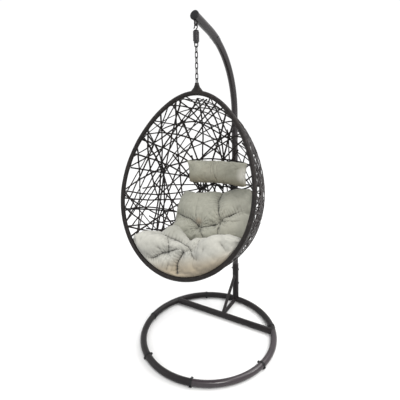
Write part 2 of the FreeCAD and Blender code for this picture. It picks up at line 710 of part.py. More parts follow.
def pad_section(z, hx, front, rear, n=28):
    """Level section of a stuffed pad: thin at its sides, full in the middle."""
    pts = []
    for i in range(n):
        a = 2 * math.pi * (i + 0.5) / n
        ca, sa = math.cos(a), math.sin(a)
        x = hx * math.copysign(abs(ca) ** 0.78, ca)
        pts.append((x, (rear if sa > 0 else front) * math.copysign(abs(sa) ** 0.86, sa), z))
    return loop(pts)


hb, ht, bt = S("back_wide") / 2, S("back_tall") / 2, S("back_thick") / 2
backc = Part.makeLoft([pad_section(ht * k, hb * kx, bt * kf, bt * kr) for k, kx, kf, kr in (
    (-1.0, 0.84, 0.20, 0.20), (-0.93, 0.93, 0.55, 0.60), (-0.76, 0.985, 0.86, 0.98), (-0.42, 0.99, 1.0, 1.22), (0.0, 0.965, 1.0, 1.30),
    (0.42, 0.97, 0.98, 1.18), (0.76, 0.965, 0.84, 0.84), (0.93, 0.91, 0.52, 0.44), (1.0, 0.82, 0.20, 0.16))], True, False)
back = basket_node("back_cushion", backc)
back.Placement = BASKET.multiply(LEAN).multiply(TURN)


def wall_v(u, w, inset):
    """Lowest height at which the basket's wall is w deep, at u across."""
    b = S("rim_half_tall")
    lo, hi = -2 * b + inset, b * S("shell_mid") - b
    if wall_w(u, hi, inset) < w:
        return None
    for _ in range(40):
        mid = (lo + hi) / 2
        if wall_w(u, mid, inset) < w:
            lo = mid
        else:
            hi = mid
    return hi


CREST = [(-400, -850), (-310, -838), (-260, -803), (-200, -790), (-120, -788), (-50, -796), (20, -806), (80, -806), (120, -792),
         (165, -757), (215, -722), (270, -710), (330, -716), (400, -720)]


def crest(u):
    """Height of the seat pad's rolled front edge across the basket."""
    for (a, va), (b, vb) in zip(CREST, CREST[1:]):
        if a <= u <= b:
            k = (u - a) / (b - a)
            k = k * k * (3 - 2 * k)
            return va + (vb - va) * k
    return CREST[-1][1]


TURN_TAN = math.tan(math.radians(S("back_turn")))
LS, LC = math.sin(math.radians(LEAN_TILT)), math.cos(math.radians(LEAN_TILT))


def seat_top(u, w):
    """Top of the seat pad: a roll along the front, then down under the back pad."""
    s = S("back_up") - (ht - 3) / math.cos(math.radians(S("back_turn"))) + TURN_TAN * (u - S("back_side"))
    s = max(s, -40.0)
    wf = LEAN_AT.y + LS * s - 32 * LC
    vf = LEAN_AT.z + LC * s + 32 * LS
    h = crest(u)
    if w >= wf:
        return min(h, vf - LS / LC * (w - wf)) - 11
    k = max(0.0, (w - 70) / (wf - 70))
    return h - (h - min(h, vf) + 11) * k ** 3


def seat_section(w, drop, lift, n_top=13, n_low=19):
    inset = PAD + lift
    low = [p for p in reversed(outline_points(w, inset, 120)) if p.z < min(-660, seat_top(p.x, w) - drop - 14)]
    # even spacing along the wall
    d = [0.0]
    for a, b in zip(low, low[1:]):
        d.append(d[-1] + (b - a).Length)
    even = []
    for i in range(n_low):
        q = d[-1] * i / (n_low - 1)
        j = max(k for k in range(len(d)) if d[k] <= q + 1e-9)
        j = min(j, len(low) - 2)
        f = (q - d[j]) / (d[j + 1] - d[j])
        even.append(low[j] + (low[j + 1] - low[j]) * f)
    uL, uR = even[0].x + 9, even[-1].x - 9
    if even[0].z < seat_top(even[0].x, w) - drop - 40:
        uL = even[0].x + 4
    top = []
    for i in range(n_top):
        u = uR + (uL - uR) * i / (n_top - 1)
        top.append((u, w, seat_top(u, w) - drop))
    return loop([(p.x, w, p.z) for p in even] + top)


seat = Part.makeLoft([seat_section(w, drop, lift) for w, drop, lift in (
    (5.0, 26.0, 20.0), (12.0, 9.0, 6.0), (28.0, 1.0, 0.0), (60.0, 0.0, 0.0), (95.0, 0.0, 0.0), (125.0, 0.0, 0.0),
    (155.0, 0.0, 1.0), (185.0, 1.0, 5.0), (212.0, 9.0, 16.0))], True, False)
for pts in [sp] + side_paths:
    seat = seat.cut(rib_shape(pts, 1.0))
basket_node("seat_cushion", seat)

# headrest pillow: an oblong pad with fully rounded edges
pil = doc.addObject("PartDesign::Body", "pillow_body")
psk = pil.newObject("Sketcher::SketchObject", "pillow_front")
psk.AttachmentSupport = (origin_plane(pil, "XZ_Plane"), [""])
psk.MapMode = "FlatFace"
pw, ph_ = S("pillow_wide") / 2, S("pillow_tall") / 2
cor = [(-pw, -ph_), (pw, -ph_), (pw, ph_), (-pw, ph_)]
for i in range(4):
    psk.addGeometry(Part.LineSegment(V(*cor[i], 0), V(*cor[(i + 1) % 4], 0)), False)
for i in range(4):
    psk.addConstraint(Sketcher.Constraint("Coincident", i, 2, (i + 1) % 4, 1))
psk.addConstraint(Sketcher.Constraint("Horizontal", 0))
psk.addConstraint(Sketcher.Constraint("Horizontal", 2))
psk.addConstraint(Sketcher.Constraint("Vertical", 1))
psk.addConstraint(Sketcher.Constraint("Vertical", 3))
psk.addConstraint(Sketcher.Constraint("Symmetric", 0, 1, 1, 2, -1, 1))
psk.addConstraint(Sketcher.Constraint("DistanceX", 0, 1, 0, 2, 2 * pw))
psk.setExpression("Constraints[9]", "Dims.pillow_wide")
psk.addConstraint(Sketcher.Constraint("DistanceY", 1, 1, 1, 2, 2 * ph_))
psk.setExpression("Constraints[10]", "Dims.pillow_tall")
ppad = pil.newObject("PartDesign::Pad", "pillow_pad")
ppad.Profile = psk
ppad.setExpression("Length", "Dims.pillow_thick")
ppad.Midplane = True
doc.recompute()
pfil = pil.newObject("PartDesign::Fillet", "pillow_round")
pfil.Base = (ppad, ["Edge%d" % (i + 1) for i in range(len(ppad.Shape.Edges))])
pfil.Radius = 40.0
pil.Tip = pfil
doc.recompute()
node("headrest_pillow", pil)
PILLOW_AT = (-8.0, 352.0, -382.0)
pil.Placement = BASKET.multiply(FreeCAD.Placement(V(*PILLOW_AT), FreeCAD.Rotation(V(0, 1, 0), -3.5)))


def strap_shape(u, v0, v1, w0, w1):
    """Flat webbing strap hanging behind the pillow's lower edge."""
    sw2, stt = S("strap_wide") / 2, S("strap_thick")
    pts = [V(u - sw2, w0, v0), V(u + sw2, w0, v0), V(u + sw2, w1, v1), V(u - sw2, w1, v1)]
    face = Part.Face(Part.makePolygon(pts + [pts[0]]))
    return face.extrude(V(0, stt, 0))


straps, buckles = [], []
for i, u in enumerate((28.0, 112.0)):
    sb = PILLOW_AT[2] - ph_ + (u - PILLOW_AT[0]) * math.sin(math.radians(3.5))
    top = LEAN.multVec(TURN.multVec(V((u - S("back_side")) / math.cos(math.radians(S("back_turn"))) + ht * TURN_TAN, 0, ht + 7)))
    st1 = feature("strap_web%d" % i, strap_shape(u, sb - 1.5, top.z, PILLOW_AT[1] - 6, top.y - 2))
    straps.append(st1)
    bk = doc.addObject("Part::Box", "buckle_block%d" % i)
    bk.Length, bk.Width, bk.Height = 30, 8, 9
    bk.Placement = FreeCAD.Placement(V(u - 15, PILLOW_AT[1] - 14.5, sb - 11.5), FreeCAD.Rotation())
    buckles.append(bk)
for nm, parts in (("pillow_straps", straps), ("strap_buckles", buckles)):
    g = doc.addObject("Part::Compound", nm + "_group")
    g.Links = parts
    doc.recompute()
    g.Placement = BASKET
    node(nm, g)

# ============================================================ check and write
doc.recompute()
bad = []
for o in doc.Objects:
    if any(s in ("Invalid", "Error") for s in o.State):
        bad.append("%s %s" % (o.Name, o.State))
for name, o in OUT.items():
    sh = o.Shape
    if sh.isNull() or not sh.isValid() or not sh.Solids:
        bad.append("%s shape null=%s valid=%s solids=%d" % (name, sh.isNull(), (not sh.isNull()) and sh.isValid(), len(sh.Solids)))
if bad:
    raise RuntimeError("; ".join(bad))
os.makedirs("parts", exist_ok=True)
for old in os.listdir("parts"):
    if old.endswith(".step") and old[:-5] not in OUT:
        os.remove(os.path.join("parts", old))

# weights of the hanging pieces, to keep them balanced under the staple
RHO = {"fabric": 300.0, "metal": 7850.0, "plastic": 1100.0}
KIND = {"rim_core": "metal", "middle_hoop": "metal", "seat_hoop": "metal", "spine_rib": "metal", "side_ribs": "metal", "yoke_eye": "metal",
        "rim_wrap": "plastic", "basket_shell": "plastic", "rim_gusset": "plastic", "strap_buckles": "plastic",
        "seat_cushion": "fabric", "back_cushion": "fabric", "headrest_pillow": "fabric", "pillow_straps": "fabric"}
total, moment = 0.0, V(0, 0, 0)
for name, o in OUT.items():
    sh = o.Shape
    vol = sum(s.Volume for s in sh.Solids)
    cg = V(0, 0, 0)
    for s_ in sh.Solids:
        cg += s_.CenterOfMass * s_.Volume
    cg = cg * (1 / vol)
    bb = sh.BoundBox
    print("%-22s solids %2d vol %10.0f  box %7.1f %7.1f %7.1f .. %7.1f %7.1f %7.1f" % (
        name, len(sh.Solids), vol, bb.XMin, bb.YMin, bb.ZMin, bb.XMax, bb.YMax, bb.ZMax))
    if name in KIND:
        m = vol * 1e-9 * RHO[KIND[name]]
        total += m
        moment += cg * m
        print("      mass %.2f cg y %.1f z %.1f" % (m, cg.y, cg.z))
    sh.exportStep("parts/%s.step" % name)
print("hanging mass %.2f kg, centre y %.1f z %.1f (staple at y %.1f)" % (total, moment.y / total, moment.z / total, HY))
print("pivots: bar %.2f eye %.2f end %.2f" % (zb, PIVOT_EYE, PIVOT_END))
print("links", ["%.2f" % t for t in link_tops])
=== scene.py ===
import math

import bpy
import numpy as np
from mathutils import Matrix, Vector


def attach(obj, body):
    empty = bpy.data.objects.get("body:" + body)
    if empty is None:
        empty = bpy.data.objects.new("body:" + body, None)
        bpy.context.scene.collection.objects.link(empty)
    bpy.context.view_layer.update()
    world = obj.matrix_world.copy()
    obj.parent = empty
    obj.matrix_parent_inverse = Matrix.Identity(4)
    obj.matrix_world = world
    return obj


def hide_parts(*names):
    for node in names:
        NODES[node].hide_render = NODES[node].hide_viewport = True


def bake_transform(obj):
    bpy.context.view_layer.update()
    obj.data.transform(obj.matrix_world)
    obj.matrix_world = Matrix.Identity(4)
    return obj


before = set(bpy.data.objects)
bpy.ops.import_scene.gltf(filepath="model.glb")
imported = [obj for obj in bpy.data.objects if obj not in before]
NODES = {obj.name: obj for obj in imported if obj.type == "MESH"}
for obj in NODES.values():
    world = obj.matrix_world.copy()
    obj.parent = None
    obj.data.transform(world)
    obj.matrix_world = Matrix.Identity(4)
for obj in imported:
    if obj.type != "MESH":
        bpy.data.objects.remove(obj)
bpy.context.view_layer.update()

scene = bpy.context.scene

# ------------------------------------------------------------------- camera
AZ, PITCH, ROLL = 0.508, 0.316, -0.007
fwd = Vector((-math.sin(AZ) * math.cos(PITCH), math.cos(AZ) * math.cos(PITCH), -math.sin(PITCH)))
right = Vector((math.cos(AZ), math.sin(AZ), 0.0))
up = right.cross(fwd)
r_ = right * math.cos(ROLL) + up * math.sin(ROLL)
u_ = up * math.cos(ROLL) - right * math.sin(ROLL)
cam_data = bpy.data.cameras.new("camera")
cam = bpy.data.objects.new("camera", cam_data)
scene.collection.objects.link(cam)
cam_data.sensor_fit = "HORIZONTAL"
cam_data.sensor_width = 36.0
cam_data.lens = 354.65 * 36.0 / 400.0
cam_data.shift_x = -0.02228
cam_data.shift_y = -0.01130
cam_data.clip_start = 0.05
cam_data.clip_end = 200.0
m = Matrix((r_, u_, -fwd)).transposed().to_4x4()
m.translation = Vector((0.98529, -1.75323, 1.65784))
cam.matrix_world = m
scene.camera = cam

# ----------------------------------------------------------- floor and light
scene.view_settings.view_transform = "Standard"
scene.view_settings.look = "None"
scene.view_settings.exposure = 0.0


def stage_material(name, color, rough):
    mat = bpy.data.materials.new(name)
    mat.use_nodes = True
    b = mat.node_tree.nodes["Principled BSDF"]
    b.inputs["Base Color"].default_value = (*color, 1)
    b.inputs["Roughness"].default_value = rough
    b.inputs["Specular IOR Level"].default_value = 0.1
    return mat


floor_mesh = bpy.data.meshes.new("floor")
fr, fn = 40.0, 96
floor_mesh.from_pydata([(fr * math.cos(2 * math.pi * i / fn), fr * math.sin(2 * math.pi * i / fn), 0.0) for i in range(fn)],
                       [], [list(range(fn))])
floor = bpy.data.objects.new("floor", floor_mesh)
scene.collection.objects.link(floor)
floor_mesh.materials.append(stage_material("floor_white", (0.80, 0.80, 0.80), 0.95))
floor.visible_diffuse = False                  # no light thrown back up under the pads

world = bpy.data.worlds.new("world")
scene.world = world
world.use_nodes = True
wnt = world.node_tree
wbg = wnt.nodes["Background"]
# studio surroundings: white above, dim below the floor line
wco = wnt.nodes.new("ShaderNodeTexCoord")
wdot = wnt.nodes.new("ShaderNodeVectorMath")
wdot.operation = "DOT_PRODUCT"
wdot.inputs[1].default_value = (0.0, 0.0, 1.0)
wnt.links.new(wco.outputs["Generated"], wdot.inputs[0])
wmap = wnt.nodes.new("ShaderNodeMapRange")
wmap.inputs["From Min"].default_value, wmap.inputs["From Max"].default_value = -1.0, 1.0
wnt.links.new(wdot.outputs["Value"], wmap.inputs["Value"])
wramp = wnt.nodes.new("ShaderNodeValToRGB")
cr = wramp.color_ramp
while len(cr.elements) < 4:
    cr.elements.new(0.5)
for e, (x, v) in zip(cr.elements, ((0.0, 0.24), (0.40, 0.30), (0.468, 1.0), (1.0, 1.0))):
    e.position = x
    e.color = (v, v, v, 1)
wnt.links.new(wmap.outputs[0], wramp.inputs["Fac"])
wnt.links.new(wramp.outputs["Color"], wbg.inputs[0])
wbg.inputs[1].default_value = 1.04


def aim(lo, pos, target):
    lo.location = pos
    lo.rotation_euler = (Vector(target) - Vector(pos)).to_track_quat("-Z", "Y").to_euler()


def area_light(name, pos, target, size, power, color=(1, 1, 1)):
    ld = bpy.data.lights.new(name, "AREA")
    ld.shape = "RECTANGLE"
    ld.size, ld.size_y = size
    ld.energy = power
    ld.color = color
    lo = bpy.data.objects.new(name, ld)
    scene.collection.objects.link(lo)
    aim(lo, pos, target)
    return lo


sun_data = bpy.data.lights.new("sky_window", "SUN")
sun_data.energy = 1.0
sun_data.angle = math.radians(34)
sun = bpy.data.objects.new("sky_window", sun_data)
scene.collection.objects.link(sun)
aim(sun, (0.9, 1.5, 3.4), (0, 0, 0))
area_light("key", (1.9, -1.7, 3.3), (0.05, -0.1, 0.95), (0.8, 0.8), 60, (1.0, 0.985, 0.96))
area_light("fill", (-2.3, -1.6, 1.9), (0, -0.1, 1.0), (1.4, 1.4), 10, (0.96, 0.98, 1.0))
area_light("edge", (2.6, 0.9, 2.7), (0.0, 0.25, 1.6), (0.7, 0.7), 26, (1.0, 0.99, 0.97))


# ------------------------------------------------------------------ materials
class Mat:
    """Small helper that builds a node material."""

    def __init__(self, name):
        self.mat = bpy.data.materials.new(name)
        self.mat.use_nodes = True
        self.nt = self.mat.node_tree
        self.b = self.nt.nodes["Principled BSDF"]

    def node(self, kind, **props):
        n = self.nt.nodes.new(kind)
        for k, v in props.items():
            if k.startswith("in_"):
                key = k[3:]
                n.inputs[int(key) if key.isdigit() else key.replace("_", " ")].default_value = v
            else:
                setattr(n, k, v)
        return n

    def link(self, a, b):
        self.nt.links.new(a, b)

    def coords(self, kind="Object"):
        return self.node("ShaderNodeTexCoord").outputs[kind]

    def noise(self, vec, scale, detail=3.0, rough=0.55):
        n = self.node("ShaderNodeTexNoise")
        n.inputs["Scale"].default_value = scale
        n.inputs["Detail"].default_value = detail
        n.inputs["Roughness"].default_value = rough
        self.link(vec, n.inputs["Vector"])
        return n.outputs["Fac"]

    def mapping(self, vec, scale):
        n = self.node("ShaderNodeMapping")
        n.inputs["Scale"].default_value = scale
        self.link(vec, n.inputs["Vector"])
        return n.outputs["Vector"]

    def ramp(self, fac, stops):
        n = self.node("ShaderNodeValToRGB")
        cr = n.color_ramp
        while len(cr.elements) < len(stops):
            cr.elements.new(0.5)
        for e, (p, c) in zip(cr.elements, stops):
            e.position = p
            e.color = c if len(c) == 4 else (*c, 1)
        self.link(fac, n.inputs["Fac"])
        return n.outputs["Color"]

    def math(self, op, a, b=None, clamp=False):
        n = self.node("ShaderNodeMath", operation=op, use_clamp=clamp)
        for i, x in enumerate((a, b)):
            if x is None:
                continue
            if isinstance(x, (int, float)):
                n.inputs[i].default_value = x
            else:
                self.link(x, n.inputs[i])
        return n.outputs[0]

    def mix(self, fac, a, b):
        n = self.node("ShaderNodeMix", data_type="RGBA")
        for sock, x in ((n.inputs[0], fac), (n.inputs[6], a), (n.inputs[7], b)):
            if isinstance(x, (int, float)):
                sock.default_value = x
            elif isinstance(x, tuple):
                sock.default_value = (*x, 1) if len(x) == 3 else x
            else:
                self.link(x, sock)
        return n.outputs[2]

    def bump(self, height, strength, distance, after=None):
        n = self.node("ShaderNodeBump")
        n.inputs["Strength"].default_value = strength
        n.inputs["Distance"].default_value = distance
        self.link(height, n.inputs["Height"])
        if after is not None:
            self.link(after, n.inputs["Normal"])
        return n.outputs["Normal"]

    def set(self, name, value):
        self.b.inputs[name].default_value = value


def coat_steel(name, dark, light, rough=(0.34, 0.5), grain=900.0, bump=0.25, spec=0.25, coat=0.04):
    """Powder coated tube: fine orange-peel grain, soft mottling, a little wear."""
    M = Mat(name)
    co = M.coords()
    broad = M.noise(co, 7.0, 3.0)
    fine = M.noise(co, grain, 2.0)
    mid = M.noise(co, 70.0, 4.0)
    col = M.ramp(M.math("ADD", M.math("MULTIPLY", broad, 0.7), M.math("MULTIPLY", mid, 0.3)), [(0.3, dark), (0.7, light)])
    speck = M.ramp(M.noise(co, 420.0, 2.0), [(0.66, (0, 0, 0)), (0.78, (1, 1, 1))])
    col = M.mix(M.math("MULTIPLY", speck, 0.22), col, tuple(min(1.0, c * 2.2) for c in light))
    M.link(col, M.b.inputs["Base Color"])
    rr = M.node("ShaderNodeMapRange")
    rr.inputs["To Min"].default_value, rr.inputs["To Max"].default_value = rough
    M.link(mid, rr.inputs["Value"])
    M.link(rr.outputs[0], M.b.inputs["Roughness"])
    M.link(M.bump(fine, bump, 0.0004), M.b.inputs["Normal"])
    M.set("Metallic", 0.0)
    M.set("Specular IOR Level", spec)
    M.set("Coat Weight", coat)
    M.set("Coat Roughness", 0.3)
    return M.mat


def moulded(name, color, rough=0.5):
    M = Mat(name)
    co = M.coords()
    n = M.noise(co, 260.0, 3.0)
    col = M.ramp(M.noise(co, 30.0, 3.0), [(0.3, tuple(c * 0.8 for c in color)), (0.7, tuple(c * 1.25 for c in color))])
    M.link(col, M.b.inputs["Base Color"])
    M.set("Roughness", rough)
    M.set("Specular IOR Level", 0.22)
    M.link(M.bump(n, 0.3, 0.0003), M.b.inputs["Normal"])
    return M.mat


def bare_steel(name, color, rough=0.32, brush=(300, 300, 8)):
    M = Mat(name)
    co = M.coords()
    st = M.noise(M.mapping(co, brush), 1.0, 3.0)
    col = M.ramp(st, [(0.3, tuple(c * 0.75 for c in color)), (0.7, color)])
    M.link(col, M.b.inputs["Base Color"])
    M.set("Metallic", 0.85)
    rr = M.node("ShaderNodeMapRange")
    rr.inputs["To Min"].default_value, rr.inputs["To Max"].default_value = rough - 0.08, rough + 0.14
    M.link(st, rr.inputs["Value"])
    M.link(rr.outputs[0], M.b.inputs["Roughness"])
    M.link(M.bump(st, 0.15, 0.0002), M.b.inputs["Normal"])
    return M.mat


def strand_mat(name, dark, light, rough=0.42, uv_lines=3.0, spec=0.22):
    """Flat synthetic rattan: grooves along the strand, tone that drifts slowly, painted glint specks."""
    M = Mat(name)
    uv = M.coords("UV")
    sep = M.node("ShaderNodeSeparateXYZ")
    M.link(uv, sep.inputs[0])
    across = sep.outputs[0]
    groove = M.math("SINE", M.math("MULTIPLY", across, 2 * math.pi * uv_lines))
    co = M.coords()
    tone = M.noise(co, 9.0, 3.0)
    streak = M.noise(M.mapping(uv, (14.0, 30.0, 1.0)), 1.0, 3.0)
    col = M.ramp(M.math("ADD", M.math("MULTIPLY", tone, 0.55), M.math("MULTIPLY", streak, 0.45)), [(0.32, dark), (0.68, light)])
    # painted glints: random specks lightened towards a bright tone stand in for highlights on the glossy strands
    glint_specks = M.ramp(M.noise(co, 55.0, 3.0), [(0.56, (0, 0, 0)), (0.72, (1, 1, 1))])
    col = M.mix(M.math("MULTIPLY", glint_specks, 0.45), col, tuple(c * 2.6 for c in light))
    M.link(col, M.b.inputs["Base Color"])
    rr = M.node("ShaderNodeMapRange")
    rr.inputs["To Min"].default_value, rr.inputs["To Max"].default_value = rough - 0.08, rough + 0.12
    M.link(streak, rr.inputs["Value"])
    M.link(rr.outputs[0], M.b.inputs["Roughness"])
    h = M.math("ADD", M.math("MULTIPLY", groove, 0.5), M.math("MULTIPLY", streak, 0.6))
    M.link(M.bump(h, 0.5, 0.00035), M.b.inputs["Normal"])
    M.set("Specular IOR Level", spec)
    return M.mat


MAT_STEEL = coat_steel("stand_charcoal", (0.009, 0.0078, 0.0082), (0.020, 0.017, 0.018), rough=(0.26, 0.40), spec=0.20, coat=0.02)
MAT_STEEL_POLE = coat_steel("stand_pole", (0.012, 0.010, 0.011), (0.025, 0.020, 0.022), rough=(0.20, 0.32), spec=0.45, coat=0.08)
# glossier coat for the front right ring arc; its base colour, about twice as light as the rest of the ring, is painted
# light
MAT_STEEL_SATIN_LIT = coat_steel("stand_satin", (0.019, 0.014, 0.0165), (0.037, 0.028, 0.033), rough=(0.18, 0.30), spec=0.45, coat=0.10)
MAT_HARD = coat_steel("hanging_hardware", (0.008, 0.007, 0.008), (0.022, 0.020, 0.021), rough=(0.28, 0.42), bump=0.1, spec=0.4)
MAT_RIB = coat_steel("rib_coat", (0.006, 0.005, 0.005), (0.014, 0.011, 0.011), spec=0.2, coat=0.0)
MAT_PLASTIC = moulded("black_moulded", (0.010, 0.010, 0.011))
MAT_BOLT = bare_steel("bolt_zinc", (0.20, 0.20, 0.21))
MAT_TUBE_IN = bare_steel("sleeve_steel", (0.45, 0.45, 0.46))
MAT_WEAVE = strand_mat("weave_strand", (0.004, 0.003, 0.003), (0.024, 0.018, 0.017), spec=0.28)
MAT_WRAP = strand_mat("wrap_strand", (0.003, 0.0025, 0.0025), (0.020, 0.016, 0.0145), spec=0.20)


def dress(node, mat):
    o = NODES[node]
    o.data.materials.clear()
    o.data.materials.append(mat)


for n in ("rear_ring_arc", "front_ring_arc_left", "crossbar", "floor_strut", "slanted_brace", "post_socket", "hanging_staple"):
    dress(n, MAT_STEEL)
# the front right arc takes the lighter copy of the ring's coat, which is painted light
dress("front_ring_arc_right", MAT_STEEL_SATIN_LIT)
for n in ("main_pole", "top_arm"):
    dress(n, MAT_STEEL_POLE)
for n in ("spring_hook", "spring_top_plug", "coil_spring", "spring_bottom_plug", "lower_eye", "upper_chain_links",
          "lower_chain_links", "end_chain_link", "yoke_eye"):
    dress(n, MAT_HARD)
for n in ("middle_hoop", "seat_hoop", "spine_rib", "side_ribs"):
    if n in NODES:
        dress(n, MAT_RIB)
for n in ("end_cap", "foot_clips"):
    dress(n, MAT_PLASTIC)
for n in ("pole_bolts", "pole_nuts"):
    dress(n, MAT_BOLT)
for n in ("ring_joint_sleeves", "rim_core"):
    dress(n, MAT_TUBE_IN)
for o in NODES.values():
    for p in o.data.polygons:
        p.use_smooth = True
    if not o.data.has_custom_normals:
        try:
            o.data.set_sharp_from_angle(angle=math.radians(35))
        except Exception:
            pass


# ------------------------------------------------------------- basket frame
HANG_Y, RIM_TOP, TILT = -0.103, 1.5916, math.radians(18.2)
EX = np.array([1.0, 0.0, 0.0])
NB = np.array([0.0, math.cos(TILT), -math.sin(TILT)])     # backwards from the rim plane
EU = np.array([0.0, math.sin(TILT), math.cos(TILT)])      # up along the rim plane
P0 = np.array([0.0, HANG_Y, RIM_TOP])
A, B, D0, E1, E2, GN = 0.4015, 0.490, 0.520, 0.123, -0.057, 1.00666
MID, N_UP, N_LOW, SQ = -0.35, 2.2, 2.1, 2.3


def to_world(p):
    """Basket coordinates (across, back, up) to the row frame."""
    p = np.asarray(p, float)
    return P0 + p[..., 0:1] * EX + p[..., 1:2] * NB + p[..., 2:3] * EU


def half_width(c):
    s = np.sqrt(np.maximum(0, 1 - c * c))
    return A / GN * s * (1 - E1 * c + E2 * c * c)


def depth(c):
    s = np.where(c > MID, (c - MID) / (1 - MID), (MID - c) / (1 + MID))
    n = np.where(c > MID, N_UP, N_LOW)
    return D0 * np.maximum(1e-9, 1 - np.minimum(1, np.abs(s)) ** n) ** (1 / n)


def egg(t, grow=0.0):
    """Rim centre line in the basket's frame, moved outwards by an amount."""
    c, s = np.cos(t), np.sin(t)
    u = A / GN * s * (1 - E1 * c + E2 * c * c)
    v = B * c - B
    if grow:
        du = np.gradient(u, t)
        dv = np.gradient(v, t)
        ln = np.hypot(du, dv)
        u = u - dv / ln * grow
        v = v + du / ln * grow
    return np.stack([u, np.zeros_like(u), v], -1)


def mesh_object(name, verts, faces, mat, uv=None, smooth=True):
    me = bpy.data.meshes.new(name)
    verts = np.asarray(verts, np.float64)
    me.from_pydata(verts.tolist(), [], [tuple(int(i) for i in f) for f in faces])
    if uv is not None:
        layer = me.uv_layers.new(name="UVMap")
        idx = np.zeros(len(me.loops), np.int32)
        me.loops.foreach_get("vertex_index", idx)
        layer.data.foreach_set("uv", np.asarray(uv, np.float32)[idx].ravel())
    if smooth:
        me.polygons.foreach_set("use_smooth", [True] * len(me.polygons))
    me.materials.append(mat)
    me.update()
    ob = bpy.data.objects.new(name, me)
    scene.collection.objects.link(ob)
    return ob


def grid_faces(rows, cols, close_rows=False, close_cols=True, base=0):
    r = np.arange(rows if close_rows else rows - 1)
    c = np.arange(cols if close_cols else cols - 1)
    R, C = np.meshgrid(r, c, indexing="ij")
    R2, C2 = (R + 1) % rows, (C + 1) % cols
    f = np.stack([R * cols + C, R * cols + C2, R2 * cols + C2, R2 * cols + C], -1)
    return f.reshape(-1, 4) + base


def unit(a):
    return a / np.maximum(np.linalg.norm(a, axis=-1, keepdims=True), 1e-12)


# ------------------------------------------------------------ wound rim wrap
def strand_profile(f):
    """Height of one flat strand across its width, 0 in the groove, 1 on top."""
    x = np.abs(2 * (f % 1.0) - 1)
    return 1 - x ** 5


def arc_resample(P, step, closed=False):
    if closed:
        P = np.vstack([P, P[:1]])
    s = np.concatenate([[0], np.cumsum(np.linalg.norm(np.diff(P, axis=0), axis=1))])
    n = max(2, int(round(s[-1] / step)))
    q = np.linspace(0, s[-1], n + 1)
    if closed:
        q = q[:-1]
    return np.stack([np.interp(q, s, P[:, i]) for i in range(3)], -1), q, s[-1]


def wound_tube(name, P, radius, pitch, relief, mat, around=14, per=5, closed=False, normal_hint=None, taper=None):
    """Tube with a flat strand wound closely round it."""
    P, q, total = arc_resample(P, pitch / per, closed)
    n = len(P)
    turns = round(total / pitch)
    if closed:
        T = unit(np.roll(P, -1, 0) - np.roll(P, 1, 0))
    else:
        T = unit(np.gradient(P, axis=0))
    hint = np.asarray(normal_hint, float)
    N1 = unit(hint - (T @ hint)[:, None] * T)
    N2 = np.cross(T, N1)
    th = np.linspace(0, 2 * math.pi, around, endpoint=False)
    phase = (q / total * turns)[:, None] + th[None, :] / (2 * math.pi)
    jit = 0.12 * relief * np.sin(q * 41.0)[:, None]
    R = radius - relief + relief * strand_profile(phase) + jit
    if taper is not None:
        R = R * taper(q / total)[:, None]
    V = P[:, None, :] + R[..., None] * (np.cos(th)[None, :, None] * N1[:, None, :] + np.sin(th)[None, :, None] * N2[:, None, :])
    uv = np.stack([phase, np.repeat(th[None, :] * radius * 4, n, 0)], -1)
    verts = V.reshape(-1, 3)
    faces = grid_faces(n, around, closed, True)
    if not closed:
        verts = np.vstack([verts, P[0], P[-1]])
        uv = np.vstack([uv.reshape(-1, 2), [[0, 0], [0, 0]]])
        a = len(verts) - 2
        faces = faces.tolist() + [[a, (i + 1) % around, i] for i in range(around)] + \
            [[a + 1, (n - 1) * around + i, (n - 1) * around + (i + 1) % around] for i in range(around)]
        return mesh_object(name, to_world(verts), faces, mat, uv)
    return mesh_object(name, to_world(verts), faces, mat, uv.reshape(-1, 2))


tt = np.linspace(0, 2 * math.pi, 2401)[:-1]
rim = wound_tube("rim_winding", egg(tt), 0.0127, 0.0062, 0.0016, MAT_WRAP, around=16, per=6, closed=True, normal_hint=(0, 1, 0))
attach(rim, "basket")
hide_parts("rim_wrap")

# wound gusset under the hanging eye
gz = np.linspace(0, 1, 60)
prof_z = np.array([1.5925, 1.606, 1.619, 1.632, 1.643])
prof_x = np.array([0.042, 0.032, 0.019, 0.0125, 0.0095])
prof_y = np.array([0.0118, 0.0118, 0.0118, 0.0115, 0.0112])
zz = prof_z[0] + gz * (prof_z[-1] - prof_z[0])
rx, ry = np.interp(zz, prof_z, prof_x), np.interp(zz, prof_z, prof_y)
th = np.linspace(0, 2 * math.pi, 40, endpoint=False)
ph = (zz - zz[0])[:, None] / 0.0052 + th[None, :] / (2 * math.pi)
bump = 0.0008 * strand_profile(ph) - 0.0008
GX = (rx[:, None] + bump) * np.cos(th)
GY = (ry[:, None] + bump) * np.sin(th)
GZ = np.repeat(zz[:, None], 40, 1)
gv = np.stack([GX, GY + HANG_Y, GZ], -1).reshape(-1, 3)
gf = grid_faces(60, 40).tolist() + [list(range(40))[::-1], [59 * 40 + i for i in range(40)]]
guv = np.stack([ph, np.repeat(th[None, :] * 0.05, 60, 0)], -1).reshape(-1, 2)
gusset = mesh_object("gusset_winding", gv, gf, MAT_WRAP, guv)
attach(gusset, "basket")
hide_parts("rim_gusset")


# ------------------------------------------------------------- random weave
def field(p):
    """Zero on the basket's shell, negative inside. p is (across, back, up)."""
    c = np.clip((p[:, 2] + B) / B, -0.9995, 0.9995)
    return (np.abs(p[:, 0]) / half_width(c)) ** SQ + (np.maximum(p[:, 1], 0) / depth(c)) ** SQ - 1


def grad(p):
    g = np.zeros_like(p)
    h = 2e-5
    for i in range(3):
        e = np.zeros(3)
        e[i] = h
        g[:, i] = (field(p + e) - field(p - e)) / (2 * h)
    return g


def on_shell(p, rounds=4):
    for _ in range(rounds):
        f = field(p)
        g = grad(p)
        p = p - np.clip(f / np.maximum((g * g).sum(1), 1e-9), -0.05, 0.05)[:, None] * g
    return p


